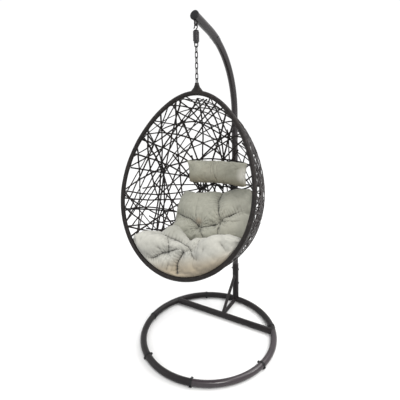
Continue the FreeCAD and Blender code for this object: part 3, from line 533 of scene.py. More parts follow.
def trace(p, d, step, most):
    """Straightest lines on the shell from points p in directions d, until the rim."""
    n = len(p)
    out = [p.copy()]
    alive = np.ones(n, bool)
    last = np.zeros(n, int)
    for k in range(most):
        q = on_shell(p + d * step, 2)
        g = unit(grad(q))
        d2 = unit(d - (d * g).sum(1, keepdims=True) * g)
        ok = alive & (q[:, 1] > 0.004) & (q[:, 2] < -0.012) & (q[:, 2] > -2 * B + 0.010)
        p = np.where(ok[:, None], q, p)
        d = np.where(ok[:, None], d2, d)
        last = np.where(ok, k + 1, last)
        alive = ok
        out.append(p.copy())
        if not alive.any():
            break
    return np.stack(out, 1), last


rng = np.random.default_rng(23)
STEP = 0.009
STAND_AT = np.array([0.985, -1.588, -0.4525])      # where a weaver stands before the open side


def shell_points(n):
    """Points spread evenly over the shell."""
    pts = []
    while len(pts) < n:
        c = rng.uniform(-0.985, 0.985, 4 * n)
        x = rng.uniform(-1, 1, 4 * n)
        hw_, dd = half_width(c), depth(c)
        u = hw_ * np.sin(x * math.pi / 2) * 0.998
        w = dd * np.maximum(0.0, 1 - (np.abs(u) / hw_) ** SQ) ** (1 / SQ)
        # keep in proportion to the area that a small change of c and x sweeps
        e = 1e-3
        u1 = hw_ * np.sin((x + e) * math.pi / 2) * 0.998
        w1 = dd * np.maximum(0.0, 1 - np.minimum(1, np.abs(u1) / hw_) ** SQ) ** (1 / SQ)
        hw2, dd2 = half_width(c + e), depth(c + e)
        u2 = hw2 * np.sin(x * math.pi / 2) * 0.998
        w2 = dd2 * np.maximum(0.0, 1 - np.minimum(1, np.abs(u2) / hw2) ** SQ) ** (1 / SQ)
        P = np.stack([u, w, B * c - B], -1)
        dx = np.stack([u1 - u, w1 - w, 0 * u], -1)
        dc = np.stack([u2 - u, w2 - w, np.full(len(u), B * e)], -1)
        area = np.linalg.norm(np.cross(dx, dc), axis=1) / e ** 2
        keep = (rng.uniform(0, 1.1, len(u)) < np.minimum(area, 1.1)) & (w > 0.010)
        pts += list(P[keep])
    return on_shell(np.array(pts[:n]))


def sections(s, n, most):
    """Plane cuts of the shell through points s, followed both ways to the rim."""
    halves = []
    for sgn in (1.0, -1.0):
        p = s.copy()
        d = sgn * unit(np.cross(n, grad(p)))
        alive = np.ones(len(p), bool)
        last = np.zeros(len(p), int)
        out = [p.copy()]
        for k in range(most):
            q = p + d * STEP
            for _ in range(3):
                q = on_shell(q, 1)
                q = q - ((q - s) * n).sum(1, keepdims=True) * n
            t = unit(np.cross(n, grad(q)))
            t = t * np.where((t * d).sum(1, keepdims=True) < 0, -1.0, 1.0)
            ok = alive & (q[:, 1] > 0.002) & (q[:, 2] < -0.006) & (q[:, 2] > -2 * B + 0.006)
            p = np.where(ok[:, None], q, p)
            d = np.where(ok[:, None], t, d)
            last = np.where(ok, k + 1, last)
            alive = ok
            out.append(p.copy())
            if not alive.any():
                break
        halves.append((np.stack(out, 1), last))
    lines = []
    for i in range(len(s)):
        (f1, l1), (f2, l2) = halves
        lines.append(np.vstack([f2[i, 1:l2[i] + 1][::-1], f1[i, :l1[i] + 1]]))
    return lines


def weave_lines(total=80.0):
    """Random strands from rim to rim, the later ones laid where the cover is still thin."""
    n = 520
    s = shell_points(n)
    eye = STAND_AT + rng.normal(0, 1.0, (n, 3)) * np.array([0.45, 0.35, 0.45])
    ray = unit(s - eye)
    g = unit(grad(s))
    # on the side walls the cut is square to the wall, elsewhere it holds the line of sight
    mixk = rng.uniform(0, 1, n)[:, None] < 0.35
    axis = np.where(mixk, g, ray)
    a = unit(np.cross(axis, np.array([0.0, 0.3, 1.0])))
    b = np.cross(axis, a)
    ang = rng.uniform(0, math.pi, n)[:, None]
    nrm = a * np.cos(ang) + b * np.sin(ang)
    cand = sections(s, nrm, 96)
    probe = shell_points(1500)
    want = 1.0 + 0.5 * (probe[:, 0] < 0.06) * (probe[:, 2] > -0.80)         # the inner left wall is the most closely woven
    near = np.zeros((n, len(probe)), np.float32)
    for i, l in enumerate(cand):
        q = l[::3]
        d = np.sqrt(((probe[:, None, :] - q[None, :, :]) ** 2).sum(-1)).min(1)
        near[i] = np.clip(1.6 - d / 0.020, 0, 1)
    length = np.array([STEP * (len(l) - 1) for l in cand])
    good = (length > 0.30) & (length < 1.72)
    cover = np.zeros(len(probe))
    picked, have = [], 0.0
    order = [i for i in range(n) if good[i]]
    while have < total and order:
        if have < 0.40 * total:
            i = order[0]
        else:
            gain = [(near[j] * want * np.exp(-1.5 * cover / want)).sum() / (length[j] + 0.1) for j in order]
            i = order[int(np.argmax(gain))]
        order.remove(i)
        picked.append(i)
        cover += near[i]
        have += length[i]
    # longer strands along the right and lower walls, close to the rim
    far = shell_points(1500)
    far = far[(far[:, 0] > 0.02) & (far[:, 1] > 0.02) & (far[:, 1] < 0.27) & (far[:, 2] < -0.16)][:20]
    gf = unit(grad(far))
    back = np.array([0.0, 1.0, 0.0])
    tang = unit(np.cross(gf, back))
    side_d = np.cross(gf, tang)
    jit_a = rng.normal(0, 0.16, len(far))[:, None]
    way = tang * np.cos(jit_a) + side_d * np.sin(jit_a)
    foot = far - gf * rng.uniform(0.05, 0.30, len(far))[:, None]
    foot[:, 1] = 0.0
    extra = sections(far, unit(np.cross(way, far - foot)), 54)
    return [cand[i] for i in picked] + extra


lines = weave_lines()
lens = [STEP * (len(l) - 1) for l in lines]
print("weave: %d strands, %.1f m" % (len(lines), sum(lens)))

# where two strands cross, one goes over and the other under
from mathutils.kdtree import KDTree

allp = np.vstack(lines)
owner = np.concatenate([[i] * len(l) for i, l in enumerate(lines)])
place = np.concatenate([np.arange(len(l)) for l in lines])
kd = KDTree(len(allp))
for i, p in enumerate(allp):
    kd.insert(p, i)
kd.balance()
best = {}
for i, p in enumerate(allp):
    for co, j, dist in kd.find_range(p, 0.0085):
        a, b = owner[i], owner[j]
        if a < b:
            key = (a, b, place[i] // 6)
            if key not in best or dist < best[key][0]:
                best[key] = (dist, place[i], place[j])
hits = {i: [] for i in range(len(lines))}
seen = set()
for (a, b, _), (dist, ia, ib) in sorted(best.items(), key=lambda kv: (kv[0][0], kv[1][1])):
    tag = (a, b, ia // 4)
    if tag in seen or (a, b, ia // 4 - 1) in seen or (a, b, ia // 4 + 1) in seen:
        continue
    seen.add(tag)
    prev = hits[a][-1][1] if hits[a] else (1 if a % 2 else -1)
    sign = -prev
    hits[a].append((ia, sign))
    hits[b].append((ib, -sign))
LIFT = 0.0014


def strand_mesh(lines, lift, width, thick, widths=None):
    ring = np.array([(-0.5, 0.0), (-0.40, 0.42), (0.0, 0.5), (0.40, 0.42), (0.5, 0.0), (0.40, -0.42), (0.0, -0.5), (-0.40, -0.42)])
    V, F, UV = [], [], []
    base = 0
    for i, l in enumerate(lines):
        n = len(l)
        g = unit(grad(l))
        T = unit(np.gradient(l, axis=0))
        S = unit(np.cross(T, g))
        off = np.zeros(n)
        if hits[i]:
            hs = sorted(hits[i])
            xs = np.array([h[0] for h in hs], float)
            ys = np.array([h[1] for h in hs], float)
            off = np.interp(np.arange(n), xs, ys)
            ker = np.array([1, 2, 1]) / 4
            off = np.convolve(np.pad(off, 1, mode="edge"), ker, "valid")
        wob = 0.0011 * np.sin(np.arange(n) * 0.17 + i * 1.7) + 0.0008 * np.sin(np.arange(n) * 0.41 + i)
        P = l + g * (off * lift)[:, None] + S * wob[:, None]
        wd = width * (widths[i] if widths is not None else 1.0)
        tw = 0.22 * np.sin(np.arange(n) * 0.09 + i * 2.3)
        S2 = S * np.cos(tw)[:, None] + g * np.sin(tw)[:, None]
        G2 = g * np.cos(tw)[:, None] - S * np.sin(tw)[:, None]
        X = P[:, None, :] + ring[None, :, 0:1] * wd * S2[:, None, :] + ring[None, :, 1:2] * thick * G2[:, None, :]
        V.append(X.reshape(-1, 3))
        k = len(ring)
        F.append(grid_faces(n, k, base=base))
        F.append(np.array([[base + 3, base + 2, base + 1, base + 0], [base + 7, base + 6, base + 5, base + 4]]))
        e = base + (n - 1) * k
        F.append(np.array([[e, e + 1, e + 2, e + 3], [e + 4, e + 5, e + 6, e + 7]]))
        ua = np.repeat((ring[:, 0] + 0.5)[None, :], n, 0)
        va = np.repeat((np.arange(n) * STEP * 4 + i)[:, None], k, 1)
        UV.append(np.stack([ua, va], -1).reshape(-1, 2))
        base += n * k
    return np.vstack(V), np.vstack(F), np.vstack(UV)


wide = rng.uniform(0.85, 1.15, len(lines))
wv, wf, wuv = strand_mesh(lines, LIFT, 0.0097, 0.0026, wide)
weave = mesh_object("weave_strands", to_world(wv), wf, MAT_WEAVE, wuv)
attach(weave, "basket")
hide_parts("basket_shell")

# ------------------------------------------------------------- soft goods
LEAN_TILT, BACK_TURN = math.radians(34.0), math.radians(12.0)
LEAN_AT = np.array([0.0, 0.177, -0.8155])
BACK_SIDE, BACK_UP = 0.026, 0.212
SL, CL = math.sin(LEAN_TILT), math.cos(LEAN_TILT)
ST, CT = math.sin(BACK_TURN), math.cos(BACK_TURN)


def back_point(x, s, n):
    """Back pad's own frame (across, up, out of its face) to the basket's frame."""
    a = BACK_SIDE + x * CT - s * ST
    b = BACK_UP + x * ST + s * CT
    return np.stack([a + 0 * n, LEAN_AT[1] + b * SL - n * CL, LEAN_AT[2] + b * CL + n * SL], -1)


def lean_point(a, b, n):
    return np.array([a, LEAN_AT[1] + b * SL - n * CL, LEAN_AT[2] + b * CL + n * SL])


def to_dist(P, poly):
    """Distance of every point to a polyline, and how far along it the nearest point is."""
    poly = np.asarray(poly, float)
    best = np.full(len(P), 1e9)
    where = np.zeros(len(P))
    seg = np.linalg.norm(np.diff(poly, axis=0), axis=1)
    total = seg.sum()
    run = 0.0
    for k in range(len(poly) - 1):
        a, b = poly[k], poly[k + 1]
        ab = b - a
        t = np.clip(((P - a) @ ab) / max(ab @ ab, 1e-12), 0, 1)
        d = np.linalg.norm(P - (a + t[:, None] * ab), axis=1)
        m = d < best
        best[m] = d[m]
        where[m] = (run + t[m] * seg[k]) / total
        run += seg[k]
    return best, where


def smooth_poly(pts, per=8):
    """Rounded line through a few points."""
    pts = np.asarray(pts, float)
    if len(pts) < 3:
        return pts
    P = np.vstack([2 * pts[0] - pts[1], pts, 2 * pts[-1] - pts[-2]])
    out = []
    for i in range(1, len(P) - 2):
        for t in np.linspace(0, 1, per, endpoint=False):
            out.append(0.5 * ((2 * P[i]) + (P[i + 1] - P[i - 1]) * t + (2 * P[i - 1] - 5 * P[i] + 4 * P[i + 1] - P[i + 2]) * t ** 2
                              + (3 * P[i] - P[i - 1] - 3 * P[i + 1] + P[i + 2]) * t ** 3))
    out.append(pts[-1])
    return np.array(out)


def vert_normals(V, F):
    n = np.zeros_like(V)
    for k in range(1, F.shape[1] - 1):
        a, b, c = V[F[:, 0]], V[F[:, k]], V[F[:, k + 1]]
        fn = np.cross(b - a, c - a)
        for i in (0, k, k + 1):
            np.add.at(n, F[:, i], fn)
    return unit(n)


def sink(V, N, creases, tufts, allow):
    """Pull stitched lines and tufts inwards. Returns places, pin weights and shade."""
    push = np.zeros(len(V))
    pin = np.zeros(len(V))
    shade = np.zeros(len(V))
    for pts, d0, d1, wide, hold in creases:
        d, q = to_dist(V, smooth_poly(pts))
        depth = (d0 + (d1 - d0) * q) * allow
        k = 0.62 * np.exp(-d / (1.15 * wide)) + 0.38 * np.exp(-(d / (2.6 * wide)) ** 2)
        push = np.maximum(push, depth * k)
        pin = np.maximum(pin, hold * np.exp(-(d / (0.45 * wide)) ** 2) * np.where(allow > 0, 1, 0))
        deep = np.clip((d0 + (d1 - d0) * q) / 0.024, 0.22, 1.0)
        shade = np.maximum(shade, (1.30 * deep * np.exp(-(d / (0.33 * wide)) ** 2) + 0.20 * deep * np.exp(-d / (0.9 * wide))) * np.where(allow > 0, 1, 0))
    for p, depth, wide in tufts:
        d = np.linalg.norm(V - np.asarray(p), axis=1)
        k = 0.50 * np.exp(-d / (1.1 * wide)) + 0.50 * np.exp(-(d / (3.0 * wide)) ** 2)
        push = np.maximum(push, depth * k * allow)
        pin = np.maximum(pin, np.exp(-(d / (0.6 * wide)) ** 4) * np.where(allow > 0, 1, 0))
        shade = np.maximum(shade, 0.9 * np.exp(-(d / (0.55 * wide)) ** 2) * np.where(allow > 0, 1, 0))
    return V - N * push[:, None], np.clip(pin, 0, 1), shade


def finer(F, *sets):
    """One rounding step for several rows of points that share their faces."""
    outs, F2 = [], None
    for V in sets:
        me = bpy.data.meshes.new("fine_step")
        me.from_pydata(np.asarray(V, float).tolist(), [], F)
        ob = bpy.data.objects.new("fine_step", me)
        scene.collection.objects.link(ob)
        md = ob.modifiers.new("round", "SUBSURF")
        md.levels = md.render_levels = 1
        m2 = bpy.data.meshes.new_from_object(ob.evaluated_get(bpy.context.evaluated_depsgraph_get()))
        co = np.empty(len(m2.vertices) * 3)
        m2.vertices.foreach_get("co", co)
        outs.append(co.reshape(-1, 3))
        if F2 is None:
            fl = np.empty(len(m2.loops), np.int32)
            m2.loops.foreach_get("vertex_index", fl)
            F2 = fl.reshape(-1, 4)
        bpy.data.objects.remove(ob, do_unlink=True)
        bpy.data.meshes.remove(me)
        bpy.data.meshes.remove(m2)
    return outs + [F2]


def line_shade(V, N, creases, tufts, allow):
    """Shade and groove of the stitched lines, measured along the cloth."""
    shade = np.zeros(len(V))
    groove = np.zeros(len(V))
    for turn, (pts, d0, d1, wide, hold) in enumerate(creases):
        line = smooth_poly(pts)
        best = np.full(len(V), 1e9)
        run = np.zeros(len(V))
        for k in range(len(line) - 1):
            a, ab = line[k], line[k + 1] - line[k]
            t = np.clip(((V - a) @ ab) / max(ab @ ab, 1e-12), 0, 1)
            dv = V - (a + t[:, None] * ab)
            dn = (dv * N).sum(1)
            d = np.sqrt(np.maximum((dv * dv).sum(1) - np.where(np.abs(dn) < 0.030, 0.96, 0.0) * dn ** 2, 0))
            m = d < best
            best[m] = d[m]
            run[m] = (k + t[m]) / (len(line) - 1)
        deep = np.clip((d0 + (d1 - d0) * run) / 0.030, 0.20, 1.0) * (0.76 + 0.24 * np.sin(run * (8 + 2 * turn) + 1.7 * turn))
        w = max(0.0030, 0.24 * wide)
        shade = np.maximum(shade, 1.00 * deep * np.exp(-(best / w) ** 2) + 0.22 * deep * np.exp(-best / (0.9 * wide)))
        groove = np.maximum(groove, 0.0045 * deep * np.exp(-(best / (1.5 * w)) ** 2))
    for p, depth, wide in tufts:
        d = np.linalg.norm(V - np.asarray(p), axis=1)
        shade = np.maximum(shade, 0.7 * np.exp(-(d / (0.55 * wide)) ** 2))
    return shade * allow, groove * allow


def puff(name, V, F, pin, pressure=4.0, grow=0.08, frames=20, cap=0.026, stiff=12.0, bend=0.4, extra=None):
    """Blow the closed cloth up for a few steps and return where its points end."""
    me = bpy.data.meshes.new(name + "_sim")
    me.from_pydata(V.tolist(), [], F.tolist())
    me.update()
    ob = bpy.data.objects.new(name + "_sim", me)
    scene.collection.objects.link(ob)
    g = ob.vertex_groups.new(name="held")
    for i in np.nonzero(pin > 0.02)[0]:
        g.add([int(i)], float(pin[i]), "REPLACE")
    md = ob.modifiers.new("Cloth", "CLOTH")
    c = md.settings
    c.quality = 5
    c.mass = 0.25
    c.tension_stiffness = stiff
    c.compression_stiffness = stiff
    c.shear_stiffness = stiff * 0.4
    c.bending_stiffness = bend
    c.use_pressure = True
    c.uniform_pressure_force = pressure
    c.effector_weights.gravity = 0.0
    c.vertex_group_mass = "held"
    c.pin_stiffness = 1.0
    c.shrink_min = -grow
    md.collision_settings.use_collision = False
    md.point_cache.frame_start = 1
    md.point_cache.frame_end = frames
    for f in range(1, frames + 1):
        scene.frame_set(f)
    dg = bpy.context.evaluated_depsgraph_get()
    ev = ob.evaluated_get(dg).to_mesh()
    out = np.empty(len(V) * 3)
    ev.vertices.foreach_get("co", out)
    out = out.reshape(-1, 3)
    ob.evaluated_get(dg).to_mesh_clear()
    bpy.data.objects.remove(ob, do_unlink=True)
    bpy.data.meshes.remove(me)
    scene.frame_set(1)
    d = out - V
    ln = np.linalg.norm(d, axis=1, keepdims=True)
    over = cap * np.tanh(ln / cap) / np.maximum(ln, 1e-9)
    return V + d * over


def relax(V, F, rounds, keep=None):
    nb_i, nb_j = [], []
    for k in range(F.shape[1]):
        nb_i.append(F[:, k]); nb_j.append(F[:, (k + 1) % F.shape[1]])
    i = np.concatenate(nb_i + nb_j); j = np.concatenate(nb_j + nb_i)
    cnt = np.bincount(i, minlength=len(V))[:, None]
    for _ in range(rounds):
        acc = np.zeros_like(V)
        np.add.at(acc, i, V[j])
        new = V * 0.5 + 0.5 * acc / np.maximum(cnt, 1)
        V = new if keep is None else V + (new - V) * (1 - keep)[:, None]
    return V


def hollows(V, F, side_sign=1.0):
    """Shade of the places that lie under the smoothed surface, at two scales."""
    N = vert_normals(V, F) * side_sign
    a = relax(V, F, 5)
    b = relax(V, F, 44)
    fine = ((a - V) * N).sum(1)
    broad = ((b - V) * N).sum(1)
    return np.clip(fine / 0.0018, 0, 1) * 0.34 + np.clip(broad / 0.0080, 0, 1) * 0.34


def crumple(V, N, amp, seed, size=0.055, waves=14):
    """Soft irregular rumples of loose cloth."""
    r = np.random.default_rng(seed)
    h = np.zeros(len(V))
    for k in range(waves):
        d = r.normal(0, 1, 3)
        d /= np.linalg.norm(d)
        f = 2 * math.pi / (size * r.uniform(0.55, 1.9))
        x = V @ d * f + r.uniform(0, 2 * math.pi) + 0.9 * np.sin(V @ r.normal(0, 1, 3) * f * 0.4)
        h += (2 * np.abs(np.sin(x / 2)) ** 0.8 - 1.2) * r.uniform(0.5, 1.0)
    return N * (amp * h / math.sqrt(waves))[:, None]


def cushion_object(name, V, F, shade, mat):
    """Finished cloth piece, smooth shaded, with its shade kept per point."""
    ob = mesh_object(name, to_world(V), F, mat)
    at = ob.data.attributes.new("fold", "FLOAT", "POINT")
    at.data.foreach_set("value", np.asarray(shade, np.float32))
    return ob


def pad_grid(nx, ns):
    """Two sheets sewn along their border: grid places, faces, side (+1 front, -1 rear, 0 border)."""
    a = np.linspace(-1, 1, nx + 1)
    b = np.linspace(-1, 1, ns + 1)
    A1, B1 = np.meshgrid(a, b, indexing="ij")
    idx_f = np.arange((nx + 1) * (ns + 1)).reshape(nx + 1, ns + 1)
    border = np.zeros_like(idx_f, bool)
    border[0, :] = border[-1, :] = border[:, 0] = border[:, -1] = True
    idx_r = np.where(border, idx_f, -1)
    n0 = idx_f.size
    inner = ~border
    idx_r[inner] = n0 + np.arange(inner.sum())
    ab = np.concatenate([np.stack([A1, B1], -1).reshape(-1, 2), np.stack([A1, B1], -1)[inner]])
    side = np.concatenate([np.where(border, 0, 1).ravel(), -np.ones(inner.sum())])
    q = lambda ix: np.stack([ix[:-1, :-1], ix[1:, :-1], ix[1:, 1:], ix[:-1, 1:]], -1).reshape(-1, 4)
    F = np.vstack([q(idx_f), q(idx_r)[:, ::-1]])
    edge = np.concatenate([idx_f[:, 0], idx_f[-1, 1:], idx_f[-2::-1, -1], idx_f[0, -2:0:-1]])
    return ab, side, F, edge, idx_f


def wrinkle(V, N, centre, reach, count, amp, phase, up, inner=0.2):
    """Small pleats that fan out from one point."""
    d = V - np.asarray(centre)
    r = np.linalg.norm(d, axis=1)
    e1 = unit(np.cross(N, up))
    e2 = np.cross(N, e1)
    th = np.arctan2((d * e2).sum(1), (d * e1).sum(1))
    fall = np.clip((r / reach - inner * 0.3) / inner, 0, 1) * np.clip(1 - r / reach, 0, 1) ** 1.3
    wv = 2 * np.abs(np.sin(0.5 * (count * th + phase + 1.3 * np.sin(3 * th + 2 * phase) + 9 * r / reach * 0.3))) ** 0.7 - 1.2
    return N * (amp * wv * fall)[:, None]


def pucker(V, N, pts, step, amp, reach, phase):
    """Short pleats that cross a stitched line and die away from it."""
    line = smooth_poly(pts)
    d, q = to_dist(V, line)
    total = np.linalg.norm(np.diff(line, axis=0), axis=1).sum()
    x = 2 * math.pi * q * total / step + phase + 1.5 * np.sin(q * total * 45 + phase) + d * 22 * math.sin(phase)
    wv = 2 * np.abs(np.sin(x / 2)) ** 0.7 - 1.2
    fall = np.clip((d - 0.002) / 0.008, 0, 1) * np.exp(-d / reach) * np.clip(np.minimum(q, 1 - q) / 0.06, 0, 1)
    return N * (amp * wv * fall)[:, None]


rs = np.random.default_rng(5)
UPV = np.array([0.0, 0.0, 1.0])

# ---- back pad ------------------------------------------------------------
NX, NS = ((92, 72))
ab, side, BF, BEDGE, _ = pad_grid(NX, NS)
a_, b_ = ab[:, 0], ab[:, 1]
hx, hs = 0.238, 0.184
widen = np.where(ab[:, 0] > 0, 1.0 + 0.11 * ab[:, 0], 1.0)
x_ = hx * widen * (1 - np.where(a_ < 0, 0.13, 0.14) * np.clip(b_, 0, 1) ** 2.2) * a_ * (1 - 0.045 * (1 - b_ ** 2)) * (1 - 0.05 * np.abs(a_ * b_) ** 5)
s_ = hs * b_ * (1 - np.where(b_ > 0, 0.10, 0.03) * (1 - a_ ** 2) * b_ ** 2) * (1 - 0.05 * np.abs(a_ * b_) ** 5)
dome = np.sqrt(np.clip((1 - np.abs(a_) ** 3.2) * (1 - np.abs(b_) ** 3.0), 0, 1))
n_ = np.where(side > 0, 0.044 * dome, np.where(side < 0, -0.040 * dome, 0.0))
BV = back_point(x_, s_, n_)
BN = vert_normals(BV, BF)
if ((BN[side > 0] @ np.array([0, -CL, SL])).mean()) < 0:
    BF = BF[:, ::-1]
    BN = -BN
front = np.where(side > 0, 1.0, 0.0)


def L(a, b, n=0.034):
    return lean_point(a, b, n)


B_T1, B_T2 = L(0.005, 0.110, 0.030), L(0.120, 0.173, 0.030)
b_creases = [
    ([L(-0.200, 0.172), L(-0.150, 0.162), L(-0.110, 0.152), L(-0.066, 0.145), L(-0.020, 0.125), B_T1], 0.012, 0.044, 0.016, 0.85),
    ([B_T1, L(0.045, 0.121), L(0.080, 0.136), L(0.105, 0.148), B_T2], 0.046, 0.044, 0.016, 0.92),
    ([B_T2, L(0.098, 0.21), L(0.078, 0.26), L(0.064, 0.30), L(0.060, 0.355)], 0.036, 0.012, 0.014, 0.6),
    ([B_T2, L(0.136, 0.188), L(0.165, 0.212), L(0.192, 0.238), L(0.235, 0.270)], 0.042, 0.010, 0.015, 0.75),
    ([B_T2, L(0.155, 0.172), L(0.19, 0.178), L(0.245, 0.200)], 0.026, 0.002, 0.012, 0.4),
    ([B_T1, L(0.020, 0.082), L(0.048, 0.050), L(0.062, 0.02)], 0.028, 0.008, 0.014, 0.45),
    ([B_T2, L(0.128, 0.140), L(0.132, 0.10), L(0.150, 0.060)], 0.030, 0.008, 0.014, 0.5),
    ([B_T1, L(-0.026, 0.160), L(-0.040, 0.215), L(-0.052, 0.275)], 0.022, 0.001, 0.012, 0.2),
    ([B_T1, L(-0.030, 0.085), L(-0.075, 0.050)], 0.026, 0.002, 0.013, 0.25),
]
BV1, bpin, bshade = sink(BV, BN, b_creases, [(B_T1, 0.064, 0.018), (B_T2, 0.060, 0.017)], front)
BV1 = BV1 + crumple(BV1, BN, 0.0010, 31, 0.075)
bpin = np.maximum(bpin, np.where(side == 0, 0.15, 0.0))
BV2 = puff("back_cushion", BV1, BF, bpin, pressure=5.0, grow=0.10, cap=0.026)
BV2 = relax(BV2, BF, 1, np.clip(bpin + np.where(side == 0, 1.0, 0.0), 0, 1))
BVF, BVB, BM, BFF = finer([tuple(f) for f in BF.tolist()], BV2, BV, np.stack([front, side == 0, dome], -1))
bshade, bgroove = line_shade(BVB, vert_normals(BVB, BFF), b_creases, [(B_T1, 0.064, 0.018), (B_T2, 0.060, 0.017)], np.clip(BM[:, 0], 0, 1))
BN2 = vert_normals(BVF, BFF)
BVF = BVF - BN2 * bgroove[:, None]
for c, k, am, ph in ((B_T1, 13, 0.0044, 0.4), (B_T2, 11, 0.0044, 1.9)):
    BVF = BVF + wrinkle(BVF, BN2, c, 0.135, k, am, ph, UPV) * BM[:, :1]
for k, (st, am, re, ph) in zip((0, 1, 2, 3), ((0.017, 0.0034, 0.030, 0.7), (0.015, 0.0030, 0.022, 2.1), (0.019, 0.0034, 0.030, 1.2), (0.016, 0.0034, 0.026, 3.3))):
    BVF = BVF + pucker(BVF, BN2, b_creases[k][0], st, am, re, ph) * BM[:, :1]
BVF = BVF + crumple(BVF, BN2, 0.0016, 41) * (1 - 0.7 * BM[:, 1:2])

# ---- headrest pillow ------------------------------------------------------
PX, PS = ((96, 40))
ab2, side2, PF, PEDGE, _ = pad_grid(PX, PS)
a2, b2 = ab2[:, 0], ab2[:, 1]
xl = -0.203 + 0.036 * (1 - b2) / 2 - 0.003 * (b2 ** 2)
xr = 0.201 + 0.006 * (1 - b2) / 2
x2 = (xl + xr) / 2 + a2 * (xr - xl) / 2 * (1 - 0.03 * (1 - b2 ** 2))
s2 = 0.071 * b2 * (1 - 0.10 * (1 - a2 ** 2) * np.where(b2 > 0, 1, 0.2)) * (1 - 0.12 * np.abs(a2 * b2) ** 6)
s2 = s2 - 0.006 * np.clip(a2, 0, 1) ** 2 * np.clip(-b2, 0, 1)
s2 = s2 + 0.004 * np.cos(a2 * 3.0)
dome2 = np.clip((1 - np.abs(a2) ** 5.0) * (1 - np.abs(b2) ** 2.4), 0, 1) ** 0.55
n2 = np.where(side2 > 0, 0.040 * dome2, np.where(side2 < 0, -0.034 * dome2, 0.0))
C35, S35 = math.cos(math.radians(3.5)), math.sin(math.radians(3.5))
PV = np.stack([-0.008 + x2 * C35 - s2 * S35, 0.352 - n2, -0.382 + x2 * S35 + s2 * C35], -1)
PN = vert_normals(PV, PF)
if PN[side2 > 0][:, 1].mean() > 0:
    PF = PF[:, ::-1]
    PN = -PN
pfront = np.where(side2 > 0, 1.0, 0.0)


def W(u, v, w=0.318):
    """Point of the pillow's front that is seen at u, v on the plane w = 0.295."""
    k = (w - 0.295)
    return np.array([u - 0.52 * k, w, v - 0.12 * k])


p_creases = [
    ([W(0.004, -0.322), W(0.010, -0.36), W(0.022, -0.40), W(0.034, -0.428)], 0.004, 0.001, 0.0055, 0.2),
    ([W(0.030, -0.322), W(0.034, -0.355), W(0.046, -0.39)], 0.003, 0.001, 0.005, 0.15),
    ([W(-0.014, -0.324), W(-0.012, -0.35), W(-0.004, -0.385)], 0.003, 0.001, 0.005, 0.15),
    ([W(-0.195, -0.335), W(-0.165, -0.352), W(-0.13, -0.385)], 0.008, 0.001, 0.008, 0.2),
    ([W(0.205, -0.318), W(0.18, -0.335), W(0.15, -0.352)], 0.007, 0.001, 0.007, 0.2),
    ([W(-0.150, -0.462), W(-0.13, -0.445), W(-0.10, -0.432)], 0.005, 0.001, 0.007, 0.2),
    ([W(0.232, -0.44), W(0.20, -0.425), W(0.17, -0.415)], 0.005, 0.001, 0.007, 0.2),
]
PV1, ppin, pshade = sink(PV, PN, p_creases, [], pfront)
PV1 = PV1 + crumple(PV1, PN, 0.0008, 33, 0.06)
ppin = np.maximum(ppin, np.where(side2 == 0, 0.25, 0.0))
PV2 = puff("headrest_pillow", PV1, PF, ppin, pressure=4.5, grow=0.06, cap=0.024)
# gathered seam: short pleats along the long edges
PVF, PVB, PM, PM2, PFF = finer([tuple(f) for f in PF.tolist()], PV2, PV, np.stack([x2, b2, side2 == 0], -1), np.stack([pfront, b2, x2], -1))
pshade, pgroove = line_shade(PVB, vert_normals(PVB, PFF), p_creases, [], np.clip(PM2[:, 0], 0, 1))
PN2 = vert_normals(PVF, PFF)
PVF = PVF - PN2 * (0.6 * pgroove)[:, None]
xf, bf = PM[:, 0], PM[:, 1]
gather = np.clip(1 - (1 - np.abs(bf)) / 0.42, 0, 1) ** 1.5 * (1 - np.abs(bf) ** 14)
PVF = PVF + crumple(PVF, PN2, 0.0014, 43) * (1 - 0.7 * PM[:, 2:3])
PVF = PVF + PN2 * (0.0020 * gather * (np.sin(xf * 330 + 1.3 * np.sin(xf * 61)) + 0.6 * np.sin(xf * 517 + bf)))[:, None]

# ---- seat pad ---------------------------------------------------------------
CREST = np.array([(-400, -850), (-310, -836), (-268, -806), (-210, -788), (-130, -786), (-50, -796), (20, -808), (84, -808), (125, -792),
                  (165, -757), (215, -722), (270, -706), (330, -712), (400, -716)], float) / 1000.0


LOBE = np.array([(-0.40, -0.85), (-0.25, -0.812), (-0.17, -0.792), (-0.135, -0.768), (-0.105, -0.742), (-0.080, -0.736), (-0.050, -0.752),
                 (-0.020, -0.768), (0.020, -0.786), (0.060, -0.800), (0.40, -0.80)])


def crest(u):
    """Height of the rolled front edge across the basket."""
    return np.interp(u, CREST[:, 0], CREST[:, 1])


def inner_depth(u, v, inset):
    c = np.clip((v + B) / (B - inset), -0.99999, 0.99999)
    s = np.sqrt(1 - c * c)
    hw = (A - inset) / GN * s * (1 - E1 * c + E2 * c * c)
    q = np.where(c > MID, (c - MID) / (1 - MID), (MID - c) / (1 + MID))
    n = np.where(c > MID, N_UP, N_LOW)
    d = (D0 - inset) * np.maximum(0, 1 - np.minimum(1, np.abs(q)) ** n) ** (1 / n)
    return np.where(np.abs(u) < hw, d * np.maximum(0, 1 - np.minimum(1, np.abs(u) / np.maximum(hw, 1e-6)) ** SQ) ** (1 / SQ), 0.0)


def floor_v(u, w, inset):
    """Lowest height of the basket's inside at u across and w back."""
    lo = np.full(np.shape(u), -2 * B + inset)
    hi = np.full(np.shape(u), B * MID - B + 0.10)
    for _ in range(34):
        mid = (lo + hi) / 2
        under = inner_depth(u, mid, inset) < w
        lo = np.where(under, mid, lo)
        hi = np.where(under, hi, mid)
    return hi


